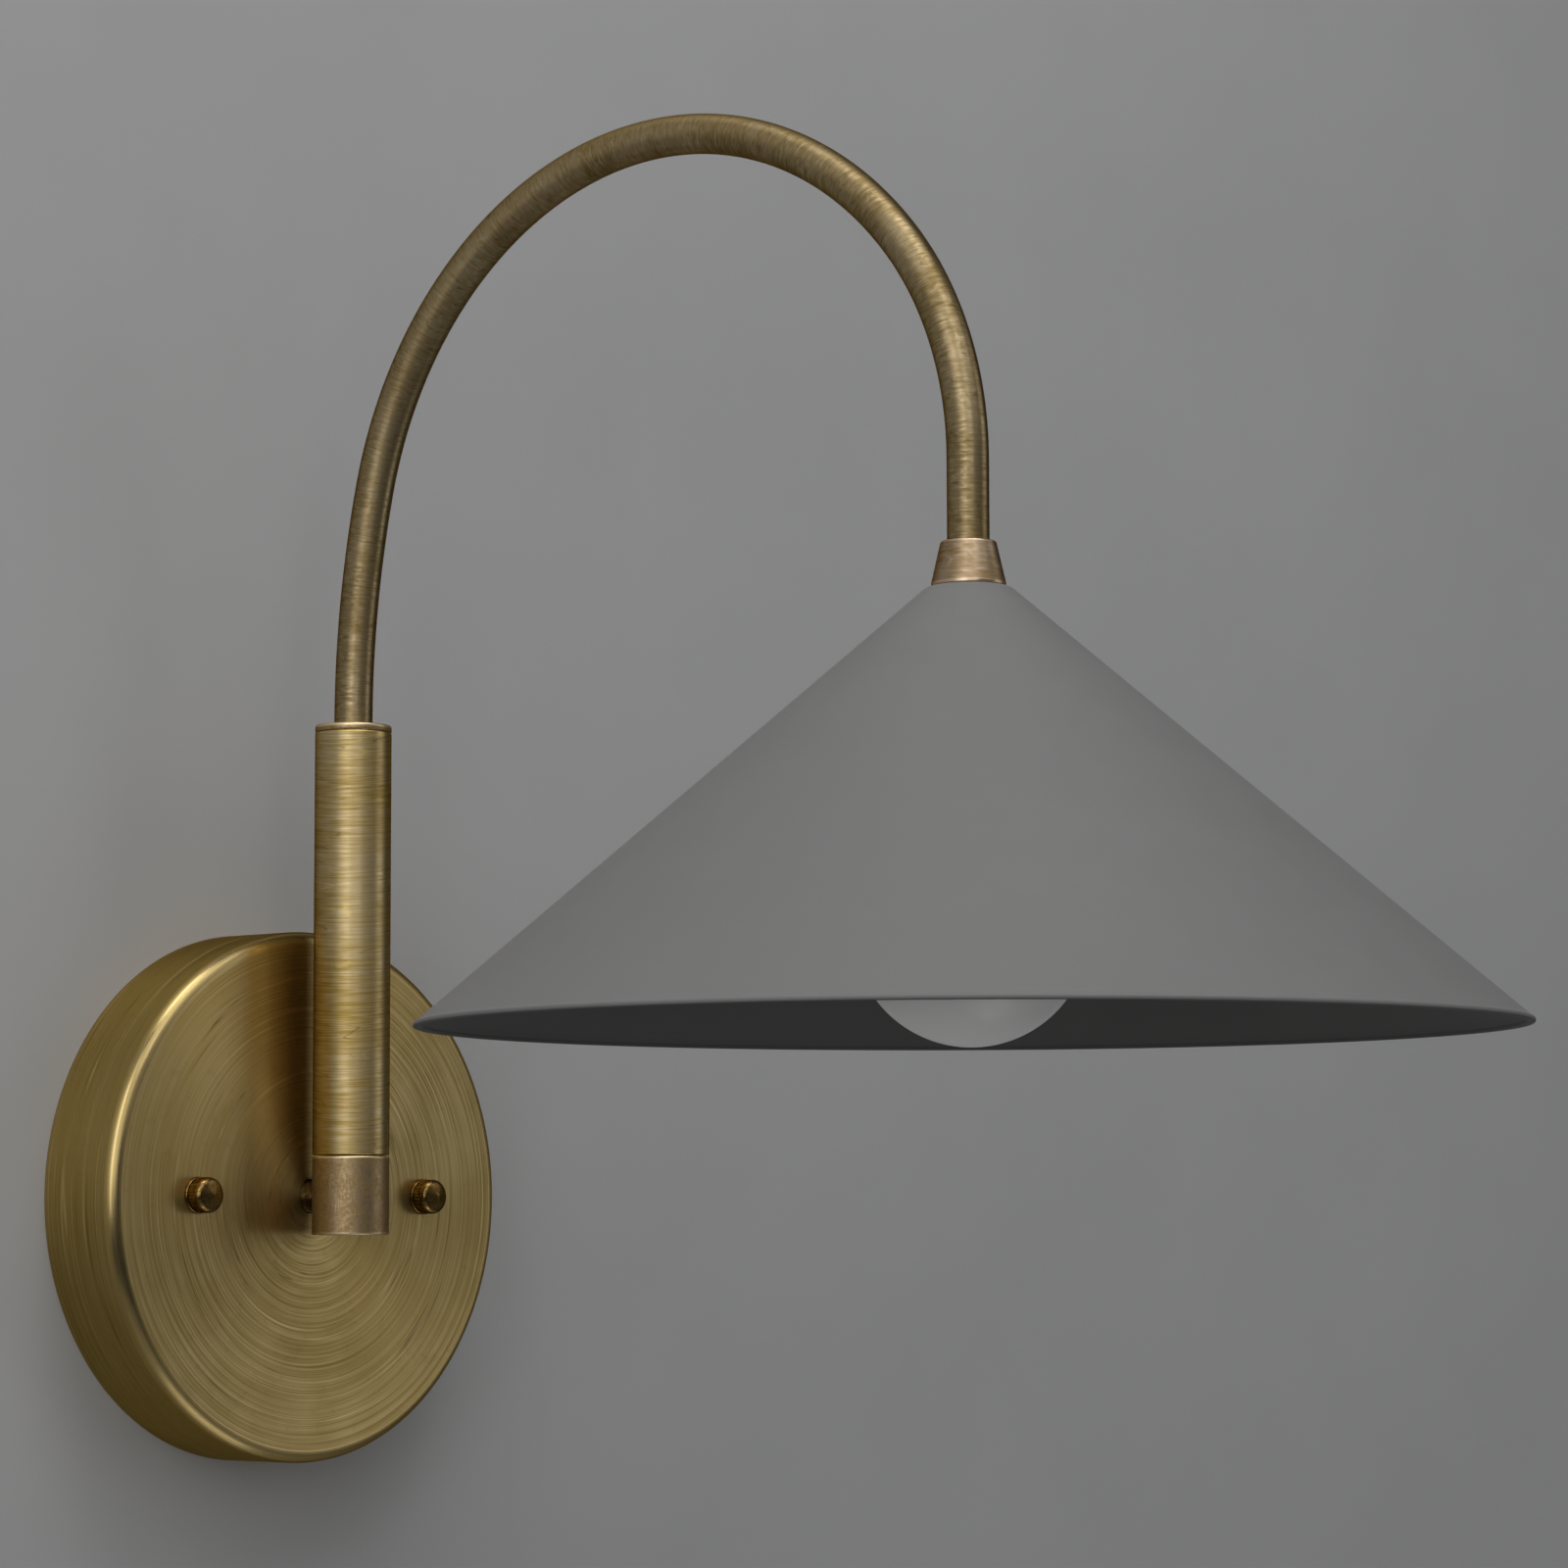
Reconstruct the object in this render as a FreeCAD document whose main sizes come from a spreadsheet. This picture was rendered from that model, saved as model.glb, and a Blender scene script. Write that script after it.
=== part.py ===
import FreeCAD, Part
import math
import os
import Sketcher

"""Gooseneck wall sconce, in millimetres.

+Z is up and the wall is the plane Y = 0. The sconce stands out towards -Y, with +X to the right
as seen from the room. The origin is the centre of the mounting plate's back face, on the wall.
"""

# Driving dimensions: alias and value in millimetres or degrees.
SIZES = [
    # canopy and mounting plate
    ("canopy_dia", 152.4),
    ("canopy_depth", 28.5),
    ("canopy_wall", 1.2),
    ("canopy_edge_radius", 3.5),
    ("stud_spacing", 88.9),
    ("stud_dia", 4.0),
    ("stud_hole_dia", 4.8),
    ("plate_thick", 2.0),
    ("plate_width", 18.0),
    ("plate_length", 112.0),
    ("box_slot_spacing", 79.4),
    ("box_slot_length", 14.3),
    ("box_slot_width", 4.8),
    ("earth_screw_place", 24.0),
    ("block_place", 24.0),
    ("block_length", 18.0),
    ("block_height", 16.0),
    ("block_depth", 12.0),
    ("block_screw_pitch", 8.0),
    ("clamp_screw_dia", 3.2),
    ("clamp_screw_inset", 0.5),
    ("fixing_screw_dia", 3.0),
    ("pan_head_dia", 6.0),
    ("pan_head_height", 1.8),
    ("earth_head_dia", 8.0),
    ("tag_barrel_gap", 6.0),
    ("tag_barrel_length", 5.0),
    ("tag_barrel_wall", 0.4),
    ("tag_bridge_reach", 3.0),
    ("tag_bridge_width", 2.9),
    ("small_nut_flats", 7.0),
    ("small_nut_height", 2.4),
    # cap nuts
    ("cap_nut_dia", 10.0),
    ("cap_nut_length", 6.0),
    ("cap_nut_face_dia", 8.6),
    ("cap_nut_groove_dia", 9.0),
    ("cap_nut_groove", 0.5),
    ("cap_nut_bore_depth", 4.8),
    ("nut_washer_dia", 10.4),
    ("nut_washer_thick", 1.0),
    # threaded hollow studs and what goes on them
    ("nipple_dia", 10.0),
    ("nipple_bore", 7.6),
    ("locknut_flats", 14.0),
    ("locknut_height", 2.6),
    ("thread_beyond", 1.0),
    ("washer_dia", 16.0),
    ("washer_thick", 1.0),
    ("standoff_tail", 7.0),
    ("standoff_grip", 6.0),
    # coupling and column
    ("axis_offset", 44.0),
    ("column_dia", 22.0),
    ("column_wall", 1.2),
    ("column_length", 121.4),
    ("coupling_height", 22.4),
    ("coupling_chamfer", 0.5),
    ("coupling_chamber_dia", 8.6),
    ("swivel_grip", 8.0),
    ("swivel_gap", 0.3),
    ("plug_height", 10.0),
    ("cap_ring_height", 2.2),
    ("cap_ring_chamfer", 0.55),
    ("cap_spigot_height", 10.0),
    # gooseneck
    ("tube_dia", 11.0),
    ("tube_wall", 1.2),
    ("tube_grip", 14.0),
    ("neck_rise", 1.0),
    ("lead_bend_radius", 280.0),
    ("lead_bend_angle", 14.0),
    ("crown_bend_radius", 112.5),
    ("crown_bend_angle", 126.0),
    ("drop_bend_radius", 95.0),
    ("drop_length", 21.8),
    # ferrule and shade
    ("ferrule_height", 11.7),
    ("ferrule_top_dia", 14.4),
    ("ferrule_bottom_dia", 19.4),
    ("ferrule_socket_depth", 6.4),
    ("shade_dia", 285.4),
    ("shade_height", 113.6),
    ("shade_top_dia", 21.4),
    ("shade_wall", 1.2),
    ("shade_shoulder_radius", 4.0),
    ("shade_hem_dia", 3.0),
    # lampholder
    ("cap_dia", 36.4),
    ("cap_height", 12.0),
    ("cap_wall", 1.0),
    ("cap_hub_dia", 16.0),
    ("cap_hub_height", 3.2),
    ("cap_shoulder_drop", 2.0),
    ("cap_hub_step", 0.6),
    ("body_top_gap", 7.4),
    ("body_floor", 2.8),
    ("body_length", 28.6),
    ("body_rim_chamfer", 1.0),
    ("shell_dia", 27.8),
    ("shell_wall", 0.4),
    ("shell_length", 24.0),
    ("shell_floor_width", 4.0),
    ("contact_height", 1.0),
    ("contact_rim", 2.0),
    ("rivet_head", 0.6),
    ("rivet_head_rim", 1.0),
    ("terminal_screw_pitch", 22.0),
    ("terminal_head_height", 1.26),
    # bulb
    ("bulb_dia", 61.0),
    ("bulb_length", 102.4),
    ("bulb_base_dia", 26.2),
    ("bulb_base_wall", 0.35),
    ("bulb_foot_dia", 9.6),
    ("bulb_foot_height", 1.3),
    ("bulb_foot_bevel", 1.4),
    ("bulb_foot_edge", 0.1),
    ("bulb_insulator_height", 3.4),
    ("bulb_insulator_margin", 0.6),
    ("bulb_insulator_depth", 2.0),
    ("bulb_base_lip", 2.1),
    ("bulb_base_chamfer", 1.0),
    ("bulb_base_length", 21.5),
    ("bulb_neck_length", 30.0),
    ("bulb_neck_depth", 6.0),
    ("bulb_glass", 0.9),
    ("bulb_board_thick", 1.6),
    ("bulb_board_hole_dia", 3.0),
    # wiring
    ("cable_dia", 5.6),
    ("wire_dia", 2.2),
    ("wire_bend_radius", 7.0),
    ("wire_tight_bend_radius", 2.8),
    ("wire_turn_place", 10.5),
    ("wire_crimp_depth", 4.5),
    ("pair_lane_side", 1.2),
    ("pair_lane_up", 1.9),
    ("earth_lane_side", 2.1),
    ("core_dia", 1.54),
    ("core_lane", 1.8),
    ("core_bend_radius", 1.24),
    # clearances
    ("fit", 0.05),
    ("seat", 0.2),
    ("screw_fit", 0.3),
]

# Places worked out from the driving dimensions, in the part's own axes.
PLACES = [
    ("coupling_top", "size.coupling_height / 2"),
    ("column_foot", "at.coupling_top + size.swivel_gap"),
    ("column_head", "at.column_foot + size.column_length"),
    ("cap_head", "at.column_head + size.cap_ring_height"),
    ("neck_start", "at.cap_head + size.neck_rise"),
    ("tube_foot", "at.cap_head - size.tube_grip"),
    ("crown_turn", "size.lead_bend_angle + size.crown_bend_angle"),
    ("shade_reach",
     "size.lead_bend_radius * (1 - cos(size.lead_bend_angle * 1deg))"
     " + size.crown_bend_radius * (cos(size.lead_bend_angle * 1deg) - cos(at.crown_turn * 1deg))"
     " + size.drop_bend_radius * (cos(at.crown_turn * 1deg) + 1)"),
    ("neck_end",
     "at.neck_start + size.lead_bend_radius * sin(size.lead_bend_angle * 1deg)"
     " + size.crown_bend_radius * (sin(at.crown_turn * 1deg) - sin(size.lead_bend_angle * 1deg))"
     " - size.drop_bend_radius * sin(at.crown_turn * 1deg)"),
    ("shade_y", "-size.axis_offset - at.shade_reach"),
    ("ferrule_top", "at.neck_end - size.drop_length"),
    ("shade_top", "at.ferrule_top - size.ferrule_height"),
    ("tube_end", "at.ferrule_top - size.ferrule_socket_depth"),
    ("shade_nut_top", "at.shade_top - size.shade_wall - size.washer_thick"),
    ("holder_top", "at.shade_nut_top - size.locknut_height - size.seat"),
    ("shade_nipple_foot", "at.holder_top - size.cap_hub_height - size.thread_beyond"),
    ("cable_end", "at.shade_nipple_foot"),
    ("bulb_foot", "at.holder_top - size.body_top_gap - size.body_floor - size.contact_height"),
    ("shade_slope", "(size.shade_dia - size.shade_top_dia) / 2 / size.shade_height"),
    ("shade_inset", "size.shade_wall * sqrt(1 + at.shade_slope ^ 2)"),
    ("shade_inner_top", "size.shade_top_dia / 2 + at.shade_slope * size.shade_wall - at.shade_inset"),
    ("locknut_corner", "size.locknut_flats / 2 / cos(30deg)"),
    ("small_nut_corner", "size.small_nut_flats / 2 / cos(30deg)"),
]

UPRIGHT = FreeCAD.Rotation()
FROM_WALL = FreeCAD.Rotation(FreeCAD.Vector(1, 0, 0), 90)
CLOSE = 0.02

doc = FreeCAD.newDocument("gooseneck_wall_sconce")
exports = []


def fill_sheet(name, rows):
    """Make a spreadsheet with one alias and one value a row."""
    sheet = doc.addObject("Spreadsheet::Sheet", name)
    for row, (alias, value) in enumerate(rows, 1):
        text = "=" + value if isinstance(value, str) else str(value)
        sheet.set(f"A{row}", alias)
        sheet.set(f"B{row}", text)
        sheet.setAlias(f"B{row}", alias)
    doc.recompute()
    return sheet


size_sheet = fill_sheet("size", SIZES)
fill_sheet("at", [(alias, formula.replace("at.", "")) for alias, formula in PLACES])


def value(expression):
    """Number of an expression on the two sheets."""
    result = size_sheet.evalExpression(str(expression))
    return float(getattr(result, "Value", result))


def place(item, base=("0", "0", "0"), rotation=UPRIGHT):
    """Place an object at three expressions, turned by a fixed rotation."""
    item.Placement = FreeCAD.Placement(FreeCAD.Vector(*[value(text) for text in base]), rotation)
    for axis, text in zip("xyz", base):
        item.setExpression(f"Placement.Base.{axis}", text)
    return item


def hand_in(item, label):
    """Name a sub-part and list it among those that are written out."""
    item.Label = label
    exports.append(item)
    return item


def origin_plane(body, role):
    """Origin plane of a body by its role."""
    return next(feature for feature in body.Origin.OriginFeatures if feature.Role == role)


def new_body(label, base=("0", "0", "0"), rotation=UPRIGHT):
    """Empty body, placed by three expressions."""
    return place(doc.addObject("PartDesign::Body", label), base, rotation)


def new_sketch(body, name, role, offset="0"):
    """Sketch on one of the body's own origin planes, raised by an expression."""
    sketch = body.newObject("Sketcher::SketchObject", name)
    sketch.AttachmentSupport = [(origin_plane(body, role), "")]
    sketch.MapMode = "FlatFace"
    sketch.setExpression("AttachmentOffset.Base.z", offset)
    return sketch


def pin_point(sketch, edge, end, across, up):
    """Fix one end point of an edge at two expressions."""
    for text, kind, axis in ((across, "DistanceX", -2), (up, "DistanceY", -1)):
        if text == "0":
            sketch.addConstraint(Sketcher.Constraint("PointOnObject", edge, end, axis))
            continue
        number = sketch.addConstraint(Sketcher.Constraint(kind, -1, 1, edge, end, value(text)))
        sketch.setExpression(f"Constraints[{number}]", text)


def draw_outline(sketch, points):
    """Closed outline of straight lines through points given as pairs of expressions."""
    spots = [FreeCAD.Vector(value(across), value(up), 0) for across, up in points]
    first = sketch.GeometryCount
    for start, stop in zip(spots, spots[1:] + spots[:1]):
        sketch.addGeometry(Part.LineSegment(start, stop))
    for index in range(len(points)):
        following = (index + 1) % len(points)
        sketch.addConstraint(Sketcher.Constraint("Coincident", first + index, 2, first + following, 1))
    for index, (across, up) in enumerate(points):
        pin_point(sketch, first + index, 1, across, up)


def draw_circle(sketch, across, up, radius):
    """Circle at two expressions, with its radius."""
    centre = FreeCAD.Vector(value(across), value(up), 0)
    circle = sketch.addGeometry(Part.Circle(centre, FreeCAD.Vector(0, 0, 1), value(radius)))
    pin_point(sketch, circle, 3, across, up)
    number = sketch.addConstraint(Sketcher.Constraint("Radius", circle, value(radius)))
    sketch.setExpression(f"Constraints[{number}]", radius)


def turned(label, points, base=("0", "0", "0"), rotation=UPRIGHT):
    """Body turned about its own Z axis from an outline of (radius, height) points."""
    body = new_body(label, base, rotation)
    sketch = new_sketch(body, label + "_outline", "XZ_Plane")
    draw_outline(sketch, points)
    turn = body.newObject("PartDesign::Revolution", label + "_turn")
    turn.Profile = sketch
    turn.ReferenceAxis = (sketch, ["V_Axis"])
    turn.Angle = 360
    doc.recompute()
    return body


def ring(label, outer, inner, low, high, base=("0", "0", "0"), rotation=UPRIGHT):
    """Turned ring between two radii and two heights."""
    points = [(inner, low), (outer, low), (outer, high), (inner, high)]
    return turned(label, points, base, rotation)


def round_edges(body, label, rings, radius):
    """Fillet the circular edges at the given (radius, height) pairs of the body's own frame."""
    base = body.Tip
    shape = base.Shape
    names = []
    for edge_radius, height in rings:
        for number, edge in enumerate(shape.Edges, 1):
            curve = edge.Curve
            if not isinstance(curve, Part.Circle):
                continue
            near = abs(curve.Radius - value(edge_radius)) < CLOSE
            if near and abs(curve.Center.z - value(height)) < CLOSE:
                names.append(f"Edge{number}")
    fillet = body.newObject("PartDesign::Fillet", label)
    fillet.Base = (base, names)
    fillet.Radius = value(radius)
    fillet.setExpression("Radius", radius)
    doc.recompute()


def cut_through(body, name, role, draw):
    """Pocket right through the body, both ways from one of its origin planes."""
    before = body.Shape.Volume
    sketch = new_sketch(body, name + "_sketch", role)
    draw(sketch)
    pocket = body.newObject("PartDesign::Pocket", name)
    pocket.Profile = sketch
    pocket.SideType = "Two sides"
    pocket.Type = "ThroughAll"
    pocket.Type2 = "ThroughAll"
    doc.recompute()
    assert body.Shape.Volume < before, name + " cuts nothing"
    return pocket


def cylinder(name, radius, height, base=("0", "0", "0"), rotation=UPRIGHT):
    """Plain cylinder with its size and place bound to expressions."""
    item = doc.addObject("Part::Cylinder", name)
    item.setExpression("Radius", radius)
    item.setExpression("Height", height)
    return place(item, base, rotation)


def box(name, lengths, base):
    """Plain box from three length expressions and its lowest corner."""
    item = doc.addObject("Part::Box", name)
    for side, text in zip(("Length", "Width", "Height"), lengths):
        item.setExpression(side, text)
    return place(item, base)


def cut(name, body, tools):
    """One solid less one or more tools."""
    tool = tools[0]
    if len(tools) > 1:
        tool = fuse(name + "_tools", tools)
    item = doc.addObject("Part::Cut", name)
    item.Base = body
    item.Tool = tool
    return item


def fuse(name, pieces):
    """Several solids joined into one."""
    item = doc.addObject("Part::MultiFuse", name)
    item.Shapes = pieces
    return item


def group(name, pieces):
    """Several like pieces that share one node."""
    item = doc.addObject("Part::Compound", name)
    item.Links = pieces
    return item


def hex_nut(name, corner, height, bore, base, rotation=UPRIGHT):
    """Hexagonal nut with a plain bore, from its lower face upwards."""
    prism = doc.addObject("Part::Prism", name + "_blank")
    prism.Polygon = 6
    prism.setExpression("Circumradius", corner)
    prism.setExpression("Height", height)
    place(prism, base, rotation)
    hole = cylinder(name + "_bore", bore, height, base, rotation)
    return cut(name, prism, [hole])


def rounded_path(points, radius):
    """Wire of straight runs joined by tangent arcs of one radius."""
    edges = []
    start = points[0]
    for before, corner, after in zip(points, points[1:], points[2:]):
        inward = (before - corner).normalize()
        onward = (after - corner).normalize()
        half_turn = (math.pi - inward.getAngle(onward)) / 2
        reach = radius * math.tan(half_turn)
        middle_way = (inward + onward).normalize()
        middle = corner + middle_way * (radius / math.cos(half_turn) - radius)
        arc_start = corner + inward * reach
        arc_stop = corner + onward * reach
        edges.append(Part.LineSegment(start, arc_start).toShape())
        edges.append(Part.Arc(arc_start, middle, arc_stop).toShape())
        start = arc_stop
    edges.append(Part.LineSegment(start, points[-1]).toShape())
    return Part.Wire(edges)


def wire_along(points, radius, bend):
    """Round wire that follows a path of straight runs and arcs."""
    path = rounded_path(points, bend)
    heading = path.Edges[0].tangentAt(path.Edges[0].FirstParameter)
    section = Part.Wire(Part.Circle(points[0], heading, radius).toShape())
    return path.makePipeShell([section], True, False)


def spot(across, out, up):
    """Point from three expressions in the part's own axes."""
    return FreeCAD.Vector(value(across), value(out), value(up))


def draw_arm_path(sketch, start, end):
    """Centre line of the arm: up the column, round the three bends and down to the shade."""
    low, high = value(start), value("at.neck_start")
    bends = [
        ("size.lead_bend_radius", "size.lead_bend_angle"),
        ("size.crown_bend_radius", "size.crown_bend_angle"),
        ("size.drop_bend_radius", "180 - at.crown_turn"),
    ]
    normal = FreeCAD.Vector(0, 0, 1)
    point = FreeCAD.Vector(0, high, 0)
    rise = sketch.addGeometry(Part.LineSegment(FreeCAD.Vector(0, low, 0), point))
    pin_point(sketch, rise, 1, "0", start)
    pin_point(sketch, rise, 2, "0", "at.neck_start")
    before, turned_by = rise, 0.0
    for radius_text, angle_text in bends:
        radius, angle = value(radius_text), math.radians(value(angle_text))
        out = FreeCAD.Vector(math.cos(turned_by), math.sin(turned_by), 0)
        centre = point - out * radius
        circle = Part.Circle(centre, normal, radius)
        arc = sketch.addGeometry(Part.ArcOfCircle(circle, turned_by, turned_by + angle))
        turned_by += angle
        point = centre + FreeCAD.Vector(math.cos(turned_by), math.sin(turned_by), 0) * radius
        sketch.addConstraint(Sketcher.Constraint("Tangent", before, 2, arc, 1))
        number = sketch.addConstraint(Sketcher.Constraint("Radius", arc, radius))
        sketch.setExpression(f"Constraints[{number}]", radius_text)
        number = sketch.addConstraint(Sketcher.Constraint("Angle", arc, angle))
        sketch.setExpression(f"Constraints[{number}]", f"({angle_text}) * 1deg")
        before = arc
    foot = FreeCAD.Vector(point.x, value(end), 0)
    drop = sketch.addGeometry(Part.LineSegment(point, foot))
    sketch.addConstraint(Sketcher.Constraint("Tangent", before, 2, drop, 1))
    number = sketch.addConstraint(Sketcher.Constraint("DistanceY", -1, 1, drop, 2, value(end)))
    sketch.setExpression(f"Constraints[{number}]", end)


def arm_pipe(label, radii, start, end):
    """Tube or rod that follows the arm's centre line between two heights."""
    body = new_body(label, ("0", "-size.axis_offset", "0"))
    path = new_sketch(body, label + "_path", "YZ_Plane")
    draw_arm_path(path, start, end)
    section = new_sketch(body, label + "_section", "XY_Plane", start)
    for radius in radii:
        draw_circle(section, "0", "0", radius)
    pipe = body.newObject("PartDesign::AdditivePipe", label + "_pipe")
    pipe.Profile = section
    pipe.Spine = (path, [])
    doc.recompute()
    return body


# ---------------------------------------------------------------- canopy and mounting plate

def make_canopy():
    """Spun dish with a rounded front edge, a centre hole and two stud holes."""
    outer, inner = "size.canopy_dia / 2", "size.canopy_dia / 2 - size.canopy_wall"
    front, back = "size.canopy_depth", "size.canopy_depth - size.canopy_wall"
    hole = "size.nipple_dia / 2 + size.screw_fit"
    points = [(inner, "0"), (outer, "0"), (outer, front), (hole, front), (hole, back), (inner, back)]
    body = turned("canopy", points, rotation=FROM_WALL)
    round_edges(body, "canopy_front_edge", [(outer, front)], "size.canopy_edge_radius")
    round_edges(body, "canopy_inner_edge", [(inner, back)],
                "size.canopy_edge_radius - size.canopy_wall")

    def draw_holes(sketch):
        for side in ("-", ""):
            draw_circle(sketch, side + "size.stud_spacing / 2", "0", "size.stud_hole_dia / 2")

    cut_through(body, "canopy_stud_holes", "XY_Plane", draw_holes)
    hand_in(body, "canopy")


def slot_tool(name, side):
    """Upright slot through the mounting plate, above or below the centre."""
    half = "size.box_slot_width / 2"
    straight = "(size.box_slot_length - size.box_slot_width)"
    middle = f"{side}size.box_slot_spacing / 2"
    ends = []
    for tag, sign in (("a", "-"), ("b", "+")):
        base = ("0", "0", f"{middle} {sign} {straight} / 2")
        ends.append(cylinder(name + tag, half, "size.plate_thick", base, FROM_WALL))
    lengths = ("size.box_slot_width", "size.plate_thick", straight)
    base = ("-" + half, "-size.plate_thick", f"{middle} - {straight} / 2")
    ends.append(box(name + "c", lengths, base))
    return fuse(name, ends)


def make_mounting_plate():
    """Cross-shaped steel plate: slots for the wall box, tapped holes for what it carries."""
    long_way, short_way, thick = "size.plate_length", "size.plate_width", "size.plate_thick"
    across = box("plate_across", (long_way, thick, short_way),
                 (f"-{long_way} / 2", f"-{thick}", f"-{short_way} / 2"))
    upright = box("plate_upright", (short_way, thick, long_way),
                  (f"-{short_way} / 2", f"-{thick}", f"-{long_way} / 2"))
    cross = fuse("plate_cross", [across, upright])
    tools = [slot_tool("upper_slot", ""), slot_tool("lower_slot", "-")]
    stud_hole = "size.stud_dia / 2 + size.fit"
    fixing_hole = "size.fixing_screw_dia / 2 + size.fit"
    holes = [
        ("left_stud_hole", stud_hole, "-size.stud_spacing / 2"),
        ("right_stud_hole", stud_hole, "size.stud_spacing / 2"),
        ("earth_hole", stud_hole, "size.earth_screw_place"),
        ("block_hole", fixing_hole, "-size.block_place"),
    ]
    for name, radius, across_at in holes:
        tools.append(cylinder(name, radius, thick, (across_at, "0", "0"), FROM_WALL))
    hand_in(cut("mounting_plate_solid", cross, tools), "mounting_plate")


def make_studs():
    """Two canopy studs in the plate, with their locknuts, washers and cap nuts."""
    studs, locknuts, washers, caps = [], [], [], []
    stud = "size.stud_dia / 2"
    clear = "size.stud_dia / 2 + size.fit"
    face = "size.canopy_depth + size.fit"
    nut_foot = "size.nut_washer_thick"
    groove_top = "size.nut_washer_thick + size.cap_nut_groove"
    nut_head = "size.nut_washer_thick + size.cap_nut_length"
    chamfer_foot = f"{nut_head} - (size.cap_nut_dia - size.cap_nut_face_dia) / 2"
    bore_top = "size.nut_washer_thick + size.cap_nut_bore_depth"
    for side, sign in (("left", "-"), ("right", "")):
        across = sign + "size.stud_spacing / 2"
        length = f"size.canopy_depth + {bore_top} - size.seat"
        studs.append(cylinder(f"{side}_stud", stud, length, (across, "0", "0"), FROM_WALL))
        base = (across, "-size.plate_thick", "0")
        locknuts.append(hex_nut(f"{side}_stud_nut", "at.small_nut_corner", "size.small_nut_height",
                                clear, base, FROM_WALL))
        base = (across, f"-({face})", "0")
        washers.append(ring(f"{side}_nut_washer", "size.nut_washer_dia / 2", clear, "0", nut_foot,
                            base, FROM_WALL))
        points = [
            ("0", nut_head), ("size.cap_nut_face_dia / 2", nut_head),
            ("size.cap_nut_dia / 2", chamfer_foot), ("size.cap_nut_dia / 2", groove_top),
            ("size.cap_nut_groove_dia / 2", groove_top), ("size.cap_nut_groove_dia / 2", nut_foot),
            (clear, nut_foot), (clear, bore_top), ("0", bore_top),
        ]
        caps.append(turned(f"{side}_cap_nut", points, base, FROM_WALL))
    hand_in(group("stud_pair", studs), "canopy_studs")
    hand_in(group("stud_nut_pair", locknuts), "stud_locknuts")
    hand_in(group("nut_washer_pair", washers), "cap_nut_washers")
    hand_in(group("cap_nut_pair", caps), "cap_nuts")


def make_standoff():
    """Hollow stud that carries the coupling off the canopy, with its locknut and washer."""
    inner_face = "size.canopy_depth - size.canopy_wall"
    start = f"{inner_face} - size.standoff_tail"
    end = "size.axis_offset - size.column_dia / 2 + size.standoff_grip"
    hand_in(ring("standoff", "size.nipple_dia / 2", "size.nipple_bore / 2", start, end,
                 rotation=FROM_WALL), "standoff_nipple")
    bore = "size.nipple_dia / 2 + size.fit"
    hand_in(ring("standoff_ring", "size.washer_dia / 2", bore, f"{inner_face} - size.washer_thick",
                 inner_face, rotation=FROM_WALL), "standoff_washer")
    base = ("0", f"-({inner_face} - size.washer_thick - size.locknut_height)", "0")
    hand_in(hex_nut("standoff_nut", "at.locknut_corner", "size.locknut_height", bore, base,
                    FROM_WALL), "standoff_locknut")


def make_terminal_block():
    """Two-pole terminal block on the plate, with clamp screws and a fixing screw."""
    centre = "-size.block_place"
    half_pitch = "size.block_screw_pitch / 2"
    front = "size.plate_thick + size.block_depth"
    wire_level = "size.plate_thick + size.block_depth / 2"
    wire_hole = "size.wire_dia / 2 + size.screw_fit"
    blank = box("block_blank", ("size.block_length", "size.block_depth", "size.block_height"),
                (f"{centre} - size.block_length / 2", f"-({front})", "-size.block_height / 2"))
    along = FreeCAD.Rotation(FreeCAD.Vector(0, 1, 0), 90)
    tools = [cylinder("block_fixing_hole", "size.fixing_screw_dia / 2 + size.fit",
                      "size.block_depth", (centre, "-size.plate_thick", "0"), FROM_WALL)]
    screws = []
    for row, up in (("upper", half_pitch), ("lower", "-" + half_pitch)):
        base = (f"{centre} - size.block_length / 2", f"-({wire_level})", up)
        tools.append(cylinder(f"{row}_wire_hole", wire_hole, "size.block_length", base, along))
        for column, sign in (("left", "-"), ("right", "+")):
            across = f"{centre} {sign} ({half_pitch} - size.clamp_screw_inset)"
            foot = f"{wire_level} + size.wire_dia / 2 + size.seat"
            base = (across, f"-({foot})", up)
            depth = f"{front} - ({foot})"
            tools.append(cylinder(f"{row}_{column}_screw_hole", "size.clamp_screw_dia / 2 + size.fit",
                                  depth, base, FROM_WALL))
            screws.append(cylinder(f"{row}_{column}_clamp", "size.clamp_screw_dia / 2",
                                   f"{depth} - size.seat", base, FROM_WALL))
    hand_in(cut("block_solid", blank, tools), "terminal_block")
    hand_in(group("clamp_screws", screws), "terminal_clamp_screws")
    shank = "size.fixing_screw_dia / 2"
    head = f"{front} + size.fit"
    points = [("0", "0"), (shank, "0"), (shank, head), ("size.pan_head_dia / 2", head),
              ("size.pan_head_dia / 2", f"{head} + size.pan_head_height"),
              ("0", f"{head} + size.pan_head_height")]
    hand_in(turned("block_screw_solid", points, (centre, "0", "0"), FROM_WALL), "block_screw")


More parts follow.
